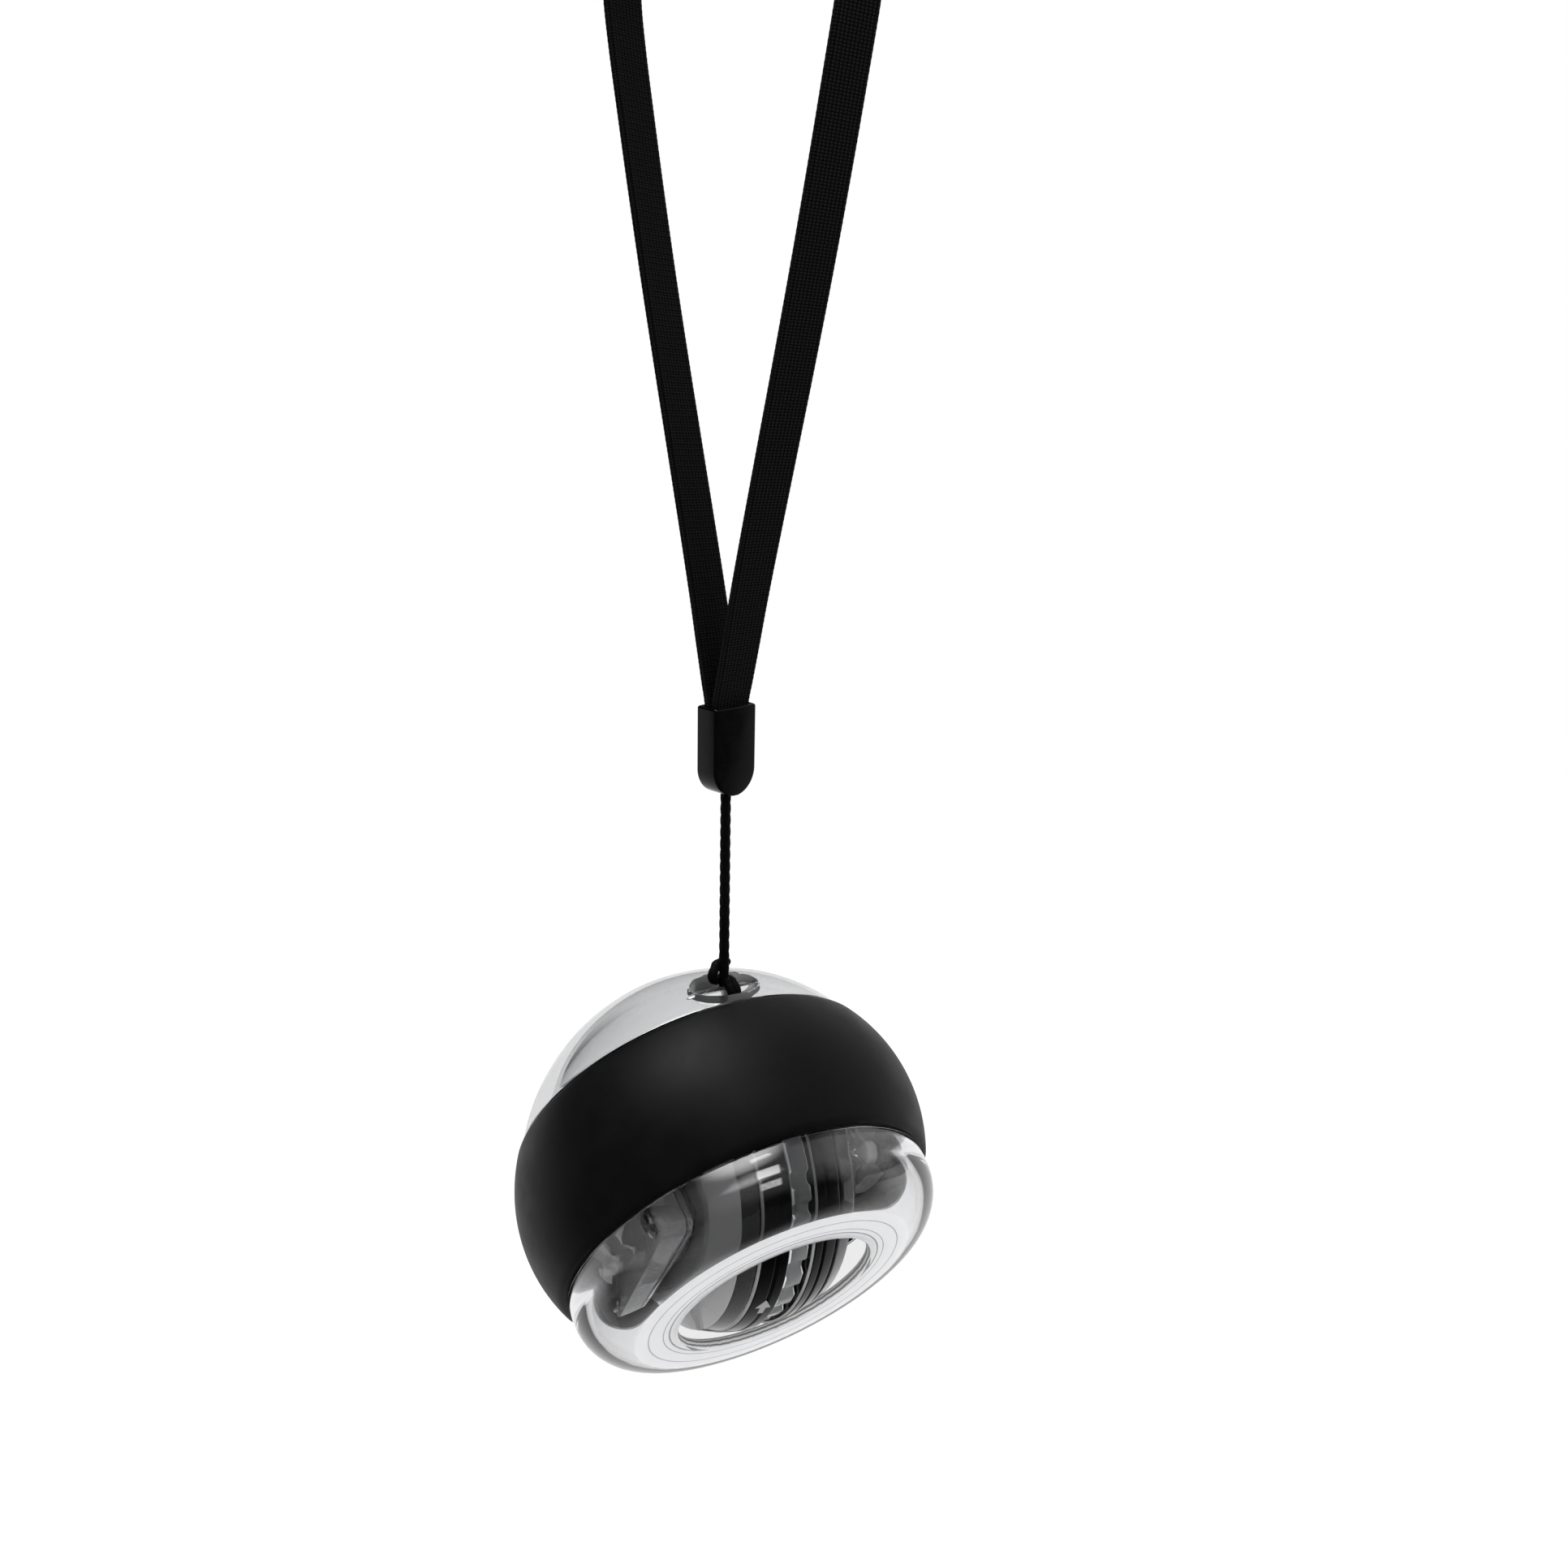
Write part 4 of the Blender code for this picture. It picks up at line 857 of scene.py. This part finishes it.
def make_dome():
    """The clear half with the eye: an oval slot, whose walls are a little rougher, and the bar across it."""
    def in_eye(spot, normal):
        return abs(normal.z) < 0.8 and math.hypot(spot.x / EYE_LENGTH, spot.y / EYE_WIDTH) < 0.56

    step = -BAND_TO_DOME - CLEAR
    edge = math.degrees(math.asin(step / DOME_RADIUS))
    outer = [(0, -DOME_RADIUS), *arc((0, 0), DOME_RADIUS, -88.5, edge, 46)]
    band_seat = [(seat(z), z) for z in spread(step, -CLEAR / 2, 8)]
    lip = -TRACK_HALF - RAIL_WIDTH
    back = lip - RAIL_WIDTH / 2
    track = [(TRACK_RADIUS, -CLEAR / 2), (TRACK_RADIUS, -TRACK_HALF)]
    track += [(RAIL_RADIUS, -TRACK_HALF), (RAIL_RADIUS, lip)]
    start = math.degrees(math.asin(back / DOME_INNER))
    inner = [*arc((0, 0), DOME_INNER, start, -88.5, 46), (0, -DOME_INNER)]
    outline = softened(outer + band_seat + track + inner, 0.25 * MM)
    dome = revolve("dome_clear", outline, 144, BALL, CLEAR_SHELL)
    circle = arc((0, 0), 0.5, 0, 355, 71)
    slot = [(EYE_LENGTH * x, EYE_WIDTH * y) for x, y in circle]
    cutter = prism("eye_slot", slot, -DOME_WALL * 2, DOME_WALL * 2, EYE, CLEAR_SHELL)
    reach = EYE_LENGTH / 2 + DOME_WALL / 2
    across = EYE @ Matrix.Rotation(math.pi / 2, 4, "Y")
    bar = revolve("eye_bar", drum(EYE_BAR_RADIUS, -reach, reach), 40, across, CLEAR_SHELL)
    joined_up(dome, [("DIFFERENCE", cutter), ("UNION", bar)], 0.22 * MM, 3)
    paint(dome, EYE_WALL, EYE, in_eye)
    stand_in(dome, "dome_shell")


def make_opening_shell():
    """The clear half with the lip, which is frosted underneath. Its bore has fine turned lines; the bore and
    the rings underneath are painted dark, a painted shade.
    """
    def frosted(spot, normal):
        return normal.z < -0.7 and spot.z > LIP_UNDER - 0.3 * MM and spot.xy.length < FROST_RADIUS

    # Faces of the bore and of the underside's rings, which get the painted shade.
    def painted_shade_lines(spot, normal):
        if spot.xy.length < OPENING_RADIUS + 0.45 * LIP_ROUND and normal.z > -0.5:
            return True
        return frosted(spot, normal) and any(low < spot.xy.length < high for low, high in LIP_LINES)

    shoulder = BAND_TO_RIM + CLEAR
    flat_start = OPENING_RADIUS + LIP_ROUND
    corner = RIM_RADIUS - flat_start - LIP_FLAT
    inner_corner = corner - RIM_WALL
    lip = TRACK_HALF + RAIL_WIDTH
    outline = [(seat(z), z) for z in spread(CLEAR / 2, shoulder, 8)]
    outline += [(RIM_RADIUS, shoulder)]
    outline += arc((RIM_RADIUS - corner, RIM_HEIGHT - corner), corner, 0, 90, 28)
    outline += arc((flat_start, RIM_HEIGHT - LIP_ROUND), LIP_ROUND, 90, 180, 14)
    outline += [(OPENING_RADIUS, LIP_UNDER + LIP_ROUND / 2)]
    outline += arc((OPENING_RADIUS + LIP_ROUND / 2, LIP_UNDER + LIP_ROUND / 2), LIP_ROUND / 2, 190, 265, 7)
    outline += [(OPENING_RADIUS + LIP_ROUND / 2, LIP_UNDER)]
    slope = math.tan(LIP_WEDGE)
    outline += [(r, LIP_UNDER + (r - OPENING_RADIUS) * slope) for line in LIP_LINES for r in line]
    bend = RIM_INNER - inner_corner
    rise = (bend - OPENING_RADIUS) * slope
    outline += arc((bend, LIP_UNDER + rise - inner_corner), inner_corner, 90, 0, 20)
    outline += [(RIM_INNER, lip), (RAIL_RADIUS, lip)]
    outline += [(RAIL_RADIUS, TRACK_HALF), (TRACK_RADIUS, TRACK_HALF), (TRACK_RADIUS, CLEAR / 2)]
    shell = revolve("opening_clear", softened(outline, 0.22 * MM), 160, BALL, CLEAR_RIM)
    paint(shell, FROSTED, BALL, frosted)
    paint(shell, LINES_AND_SHADE, BALL, painted_shade_lines)
    stand_in(shell, "opening_shell")


def make_band():
    low, high = -BAND_TO_DOME, BAND_TO_RIM
    outline = [(crown(z), z) for z in spread(low + BAND_ROUND, high - BAND_ROUND, 34)]
    outline += [(crown(high) - BAND_ROUND * 0.35, high - BAND_ROUND * 0.3), (crown(high) - BAND_ROUND, high)]
    outline += [(band_bore(z), z) for z in spread(high, low, 12)]
    outline += [(crown(low) - BAND_ROUND, low), (crown(low) - BAND_ROUND * 0.35, low + BAND_ROUND * 0.3)]
    band = revolve("grip_rubber", outline, 180, BALL, RUBBER, 50)
    stand_in(band, "grip_band")


make_dome()
make_opening_shell()
make_band()


# Gimbal ring and starter

def ring_outline(gap):
    """The ring's section, grown by a gap for the slots that hold it."""
    half = RING_HALF + gap
    return chamfered(RING_INNER - gap, RING_RADIUS + gap, -half, half, RING_CHAMFER)


def rod(name, radius, low, high, matrix, at=(0, 0), steps=32):
    """A plain cylinder to cut with."""
    return revolve(name, drum(radius, low, high), steps, matrix @ Matrix.Translation((*at, 0)), DARK)


def make_ring():
    """The ring, with the holes for its two bushes."""
    ring = revolve("track_ring", softened(ring_outline(0), 0.2 * MM, 2), 144, RING, WHITE)
    holes = []
    for side in (-1, 1):
        low, high = sorted((side * (RING_INNER - RUN), side * (RING_RADIUS + RUN)))
        holes.append(("DIFFERENCE", rod(f"ring_hole_{side + 1}", BUSH_RADIUS + CLEAR, low, high, SPIN)))
    joined_up(ring, holes, 0.1 * MM, 1)
    stand_in(ring, "gimbal_ring")


def grips():
    """Cutters that fit the yoke over the ring and keep it clear of the shell."""
    reach = YOKE_HALF_HEIGHT * 2
    limit = revolve("yoke_sweep", drum(SWEEP_RADIUS, -reach, reach), 120, RING, DARK)
    slot = revolve("yoke_slot", ring_outline(CLEAR), 120, RING, DARK)
    return [("INTERSECT", limit), ("DIFFERENCE", slot)]


def screw_holes(name, low, high):
    """Cutters for the four screws from low to high, with some room at both ends."""
    holes = []
    for x in (-SCREW_PLACE, SCREW_PLACE):
        for y in (-SCREW_PLACE, SCREW_PLACE):
            hole = rod(f"{name}_{len(holes)}", SCREW_RADIUS + CLEAR, low - RUN, high + RUN, SPIN, (x, y), 20)
            holes.append(("DIFFERENCE", hole))
    return holes


def make_cup():
    """The starter's smoky cup, with the yoke that grips the ring."""
    square = rounded_square(HOUSING_HALF, HOUSING_CORNER)
    cup = prism("starter_cup", square, -HOUSING_END, -HOUSING_START, SPIN, SMOKE)
    grip = rounded_square(YOKE_HALF_WIDTH, 0.3 * MM, 2, YOKE_HALF_HEIGHT)
    outside = -RING_RADIUS - RUN
    yoke = prism("cup_yoke", grip, outside, HOUSING_FLOOR / 2 - HOUSING_END, SPIN, SMOKE)
    joined_up(yoke, grips())
    steps = [
        ("UNION", yoke),
        ("DIFFERENCE", rod("cup_cavity", CAVITY_RADIUS, -CAVITY_END, -HOUSING_START + RUN, SPIN, steps=96)),
        ("DIFFERENCE", rod("cup_bore", BUSH_RADIUS + CLEAR, outside, -CAVITY_END + RUN, SPIN)),
        *screw_holes("cup_screw", -HOUSING_END, -HOUSING_START),
    ]
    joined_up(cup, steps, 0.14 * MM)
    stand_in(cup, "starter_housing")


def make_lid():
    square = rounded_square(HOUSING_HALF, HOUSING_CORNER)
    lid = prism("starter_lid", square, -COVER_END, -COVER_START, SPIN, CLEAR_LID)
    bore = rod("lid_bore", ARBOR_RADIUS + RUN, -COVER_END - RUN, -COVER_START + RUN, SPIN, steps=48)
    steps = [("DIFFERENCE", bore), *screw_holes("lid_screw", -COVER_END, -COVER_START)]
    joined_up(lid, steps, 0.1 * MM)
    stand_in(lid, "starter_cover")


def make_spring():
    """The wound power spring, smooth all the way round."""
    per_turn = 72
    half = SPRING_THICKNESS / 2
    inner = ARBOR_RADIUS + CLEAR + half
    outer = CAVITY_RADIUS - CLEAR - half
    steps = SPRING_TURNS * per_turn
    rings = []
    for i in range(steps + 1):
        radius = inner + (outer - inner) * i / steps
        strip = chamfered(radius - half, radius + half, -SPRING_END, -SPRING_START, SPRING_SOFT)
        rings.append(turned(strip, 2 * math.pi * i / per_turn))
    spring = lofted("power_spring", rings, SPIN, SPRING_STEEL, angle=50)
    stand_in(spring, "mainspring")


make_ring()
make_cup()
make_lid()
make_spring()


# Rotor

def rotor_surface(station, drop=0.0):
    return math.sqrt(ROTOR_RADIUS**2 - station**2) - drop


def on_surface(low, high, steps):
    """Points on the rotor's round surface between two stations along the axle."""
    return [(rotor_surface(station), station) for station in spread(low, high, steps)]


def both_sides(name, node, outline, finishes, where, angle=35.0):
    """A piece on both sides of the rotor, with its second finish where station and normal pass the test."""
    for side, suffix in ((-1, "left"), (1, "right")):
        sided = [(r, side * z) for r, z in outline]
        piece = revolve(f"{name}_{suffix}", sided, 160, SPIN, finishes[0], angle)
        paint(piece, finishes[1], SPIN, lambda spot, normal: where(side * spot.z, normal))
        stand_in(piece, f"{node}_{suffix}")


def make_weights():
    """The black rings, scored once round, with a painted sheen of lighter grey on their chamfered edges."""
    # The chamfered edges, which get the painted sheen.
    def wear_and_edge_sheen(station, normal):
        from_edge = min(station - WEIGHT_START, WEIGHT_END - station)
        return from_edge < 0.8 * WEIGHT_CHAMFER and abs(normal.z) < 0.97

    bore = CORE_RADIUS + CLEAR
    score = WEIGHT_START + SCORE_PLACE * (WEIGHT_END - WEIGHT_START)
    outline = [
        (bore, WEIGHT_END), (bore, WEIGHT_START), (rotor_surface(WEIGHT_START, WEIGHT_CHAMFER), WEIGHT_START),
        *on_surface(WEIGHT_START + WEIGHT_CHAMFER, score - SCORE_DEPTH, 8),
        (rotor_surface(score, SCORE_DEPTH), score),
        *on_surface(score + SCORE_DEPTH, WEIGHT_END - WEIGHT_CHAMFER, 9),
        (rotor_surface(WEIGHT_END, WEIGHT_CHAMFER), WEIGHT_END),
    ]
    outline = softened(outline, 0.12 * MM, 2)
    both_sides("rotor_weight", "weight_ring", outline, (LACQUER, EDGE_SHEEN), wear_and_edge_sheen, 40)


def make_tick():
    """A plain printed arrow on the left weight, beside the groove, that shows the way the thumb pushes."""
    middle = -(WEIGHT_START + TICK_FROM_EDGE)
    aim = SPIN.inverted().to_3x3() @ (BALL.to_3x3() @ Vector((0, 0, 1)))
    facing = math.atan2(aim.y, aim.x) + TICK_TURN
    rings = []
    for along, half in ((-1.0, 0.0), (0.10, 1.0), (0.12, 0.36), (1.0, 0.36)):
        turn = facing + along * TICK_HALF / ROTOR_RADIUS
        reach = max(half * TICK_WIDTH / 2, 0.01 * MM)
        low = [(rotor_surface(middle + side) + PRINT_LOW, middle + side) for side in (-reach, reach)]
        high = [(rotor_surface(middle + side) + PRINT_HIGH, middle + side) for side in (reach, -reach)]
        rings.append(turned(low + high, turn))
    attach(lofted("arrow_tick", rings, SPIN, TICK_PRINT), "rotor")


# One pitch of the groove ring, as (share of the pitch, share of the notch's depth)
NOTCH = (
    (0.0, 0.12), (0.03, 0.0), (0.15, 0.0), (0.30, 0.0), (0.42, 0.0),
    (0.46, 0.12), (0.58, 0.9), (0.62, 1.0), (0.83, 1.0), (0.88, 0.9),
)


def make_groove():
    """The clear notched ring between the weights, with pale side faces that are a painted highlight."""
    bore = CORE_RADIUS + CLEAR
    flat = GROOVE_HALF - GROOVE_SOFT
    rings = []
    for notch in range(GROOVE_NOTCHES):
        for share, drop in NOTCH:
            reach = ROTOR_RADIUS - GROOVE_DROP - drop * NOTCH_DEPTH
            section = [(bore, -GROOVE_HALF), (reach - GROOVE_SOFT, -GROOVE_HALF), (reach, -flat)]
            section += [(reach, flat), (reach - GROOVE_SOFT, GROOVE_HALF), (bore, GROOVE_HALF)]
            rings.append(turned(section, 2 * math.pi * (notch + share) / GROOVE_NOTCHES))
    groove = lofted("thumb_groove", rings, SPIN, CLEAR_GROOVE, closed=True, angle=40)
    # The side faces get the painted highlight.
    paint(groove, GROOVE_SIDE_HIGHLIGHT, SPIN, lambda spot, normal: abs(spot.z) > flat)
    stand_in(groove, "groove_ring")


def make_flanks():
    """The dished clear sides: smoky where they are round, frosted on their outer faces."""
    def outer(station, normal):
        return station > edge

    dish = FLANK_END - FLANK_DISH
    edge = FLANK_END - FLANK_EDGE
    rim = rotor_surface(edge) - FLANK_BEVEL
    outline = [(BORE_RADIUS, FLANK_END), (BORE_RADIUS, FLANK_START), *on_surface(FLANK_START, edge, 6)]
    outline += [(rim, FLANK_END), (rim - FLANK_RIM, FLANK_END), (rim - FLANK_RIM - FLANK_DISH / 2, dish)]
    outline += [(FLANK_HUB + FLANK_DISH / 2, dish), (FLANK_HUB, FLANK_END)]
    outline = softened(outline, 0.25 * MM)
    both_sides("flank_cover", "rotor_flank", outline, (FLANK_ROUND, FLANK_SIDE), outer)


make_weights()
make_tick()
make_groove()
make_flanks()

# CAD pieces that keep their shape
KEPT = {
    "axle": STEEL, "axle_bush_left": DARK, "axle_bush_right": DARK, "bearing_block": SMOKE,
    "drive_hub": WHITE, "rotor_core": DARK, "ratchet_ring": PLATED, "balance_collar": PLATED,
    **{f"starter_screw_{k}": STEEL for k in range(1, 5)}, **{f"pawl_{k}": PLATED for k in range(1, 4)},
}
for node, finish in KEPT.items():
    mesh = frame["nodes"][node].data
    mesh.materials.clear()
    mesh.materials.append(finish)


# Studio

FLOOR_HEIGHT = -0.36
FLOOR_RADIUS = 4.0
DULL_LEVEL = 0.90  # of the world's light on dull surfaces
SCATTERED_LEVEL = 1.6  # where one has scattered it, to make up for what the clear shells swallow
# Square lamps for dull surfaces alone, by name, place, what they face, size and power
LAMPS = (
    ("key", (0.42, -0.30, 0.30), (0, 0, -0.18), 0.45, 5.0),
    ("fill", (-0.55, -0.25, 0.05), (0, 0, -0.17), 0.5, 2.0),
)


def make_lamp(name, place, target, size, power):
    data = bpy.data.lights.new(name, "AREA")
    data.size = size
    data.energy = power
    lamp = bpy.data.objects.new(name, data)
    lamp.visible_glossy = False
    lamp.visible_transmission = False
    scene.collection.objects.link(lamp)
    aim = (Vector(target) - Vector(place)).to_track_quat("-Z", "Y")
    lamp.matrix_world = Matrix.Translation(place) @ aim.to_matrix().to_4x4()


def smooth(tree, value, start, end, low, high):
    """From low to high, eased, while the value goes from start to end."""
    return ranged(tree, value, low, high, start, end, interpolation_type="SMOOTHSTEP")


def all_of(tree, operation, first, *others):
    for other in others:
        first = maths(tree, operation, first, other)
    return first


def toward(tree, way, direction):
    """How far a direction points towards another one, 1 when they agree."""
    other = Vector(direction).normalized()
    return add(tree, "VectorMath", {0: way, 1: other}, operation="DOT_PRODUCT").outputs["Value"]


def aside(tree, way, direction):
    """How far a direction leans out of the plane square to another one, to either side."""
    return maths(tree, "ABSOLUTE", toward(tree, way, direction))


def scattered(tree, path):
    """1 for light that a dull surface has already scattered."""
    return maths(tree, "GREATER_THAN", path["Diffuse Depth"], 0.5)


def make_world():
    """White for the camera and even light for dull surfaces. Gloss and clear plastic show a studio: a
    backdrop behind, a card on the right, a round light and a softbox above, and a dim room in front."""
    world = bpy.data.worlds.new("studio")
    scene.world = world
    world.use_nodes = True
    tree = world.node_tree
    path = add(tree, "LightPath").outputs
    way = add(tree, "TexCoord").outputs["Generated"]
    split = add(tree, "SeparateXYZ", {"Vector": way}).outputs
    backdrop = smooth(tree, split["Y"], 0.10, 0.65, 0.03, 1.0)
    right_card = smooth(tree, toward(tree, way, (0.83, 0.25, 0.50)), 0.78, 0.97, 0.0, 0.75)
    round_light = smooth(tree, toward(tree, way, (-0.22, 0.10, 0.97)), 0.88, 0.985, 0.0, 9.0)
    across = smooth(tree, aside(tree, way, (0.911, 0.411, 0.0)), 0.10, 0.13, 9.0, 0.0)
    along = smooth(tree, aside(tree, way, (-0.36, 0.797, 0.485)), 0.12, 0.16, 1.0, 0.0)
    upward = maths(tree, "GREATER_THAN", split["Z"], 0.0)
    softbox = all_of(tree, "MULTIPLY", across, along, upward)
    lights = all_of(tree, "MAXIMUM", right_card, round_light, softbox)
    left_shade = smooth(tree, split["X"], -0.45, 0.40, 0.01, 0.85)
    mirrored = maths(tree, "MAXIMUM", maths(tree, "MULTIPLY", backdrop, left_shade), lights)
    side_flags = smooth(tree, maths(tree, "ABSOLUTE", split["X"]), 0.30, 0.70, 1.0, 0.08)
    ceiling = smooth(tree, split["Z"], 0.35, 0.95, 0.0, 0.75)
    bent = all_of(tree, "MAXIMUM", maths(tree, "MULTIPLY", backdrop, side_flags), lights, ceiling)
    levels = (
        (path["Is Glossy Ray"], mirrored), (path["Is Transmission Ray"], bent),
        (path["Is Camera Ray"], 1.0), (scattered(tree, path), SCATTERED_LEVEL),
    )
    level = DULL_LEVEL
    for flag, value in levels:
        mixed = add(tree, "Mix", {"Factor": flag}, data_type="FLOAT")
        plug(tree, mixed.inputs[2], level)
        plug(tree, mixed.inputs[3], value)
        level = mixed.outputs[0]
    plug(tree, tree.nodes["Background"].inputs["Color"], (1.0, 1.0, 1.0, 1.0))
    plug(tree, tree.nodes["Background"].inputs["Strength"], level)


def make_floor():
    """Pale floor: white to the eye and through clear plastic, with the object's soft shadow near it."""
    bm = bmesh.new()
    bmesh.ops.create_circle(bm, cap_ends=True, segments=96, radius=FLOOR_RADIUS)
    made, tree, shader = finish_of("floor_paint", Base_Color=grey(0.90), Roughness=0.9)
    path = add(tree, "LightPath").outputs
    place = place_of(tree)
    far = add(tree, "VectorMath", {0: place}, operation="LENGTH").outputs["Value"]
    open_floor = ranged(tree, far, 0.80, 1.0, 0.30, 1.2)
    behind = smooth(tree, add(tree, "SeparateXYZ", {"Vector": place}).outputs["Y"], -0.16, 0.10, 0.04, 1.0)
    clear = maths(tree, "SUBTRACT", 1.0, scattered(tree, path))
    bounced = maths(tree, "MAXIMUM", path["Is Glossy Ray"], path["Is Transmission Ray"])
    seen = maths(tree, "MULTIPLY", path["Is Camera Ray"], open_floor)
    share = maths(tree, "MAXIMUM", maths(tree, "MULTIPLY", bounced, clear), seen)
    strength = maths(tree, "MAXIMUM", path["Is Camera Ray"], behind)
    glow = add(tree, "Emission", {"Color": (1, 1, 1, 1), "Strength": strength})
    mix = add(tree, "MixShader", {0: share, 1: shader.outputs[0], 2: glow.outputs[0]})
    tree.links.new(mix.outputs[0], tree.nodes["Material Output"].inputs["Surface"])
    floor = made_object("floor", bm, Matrix.Translation((0, 0, FLOOR_HEIGHT)), made)


make_world()
make_floor()
for lamp in LAMPS:
    make_lamp(*lamp)
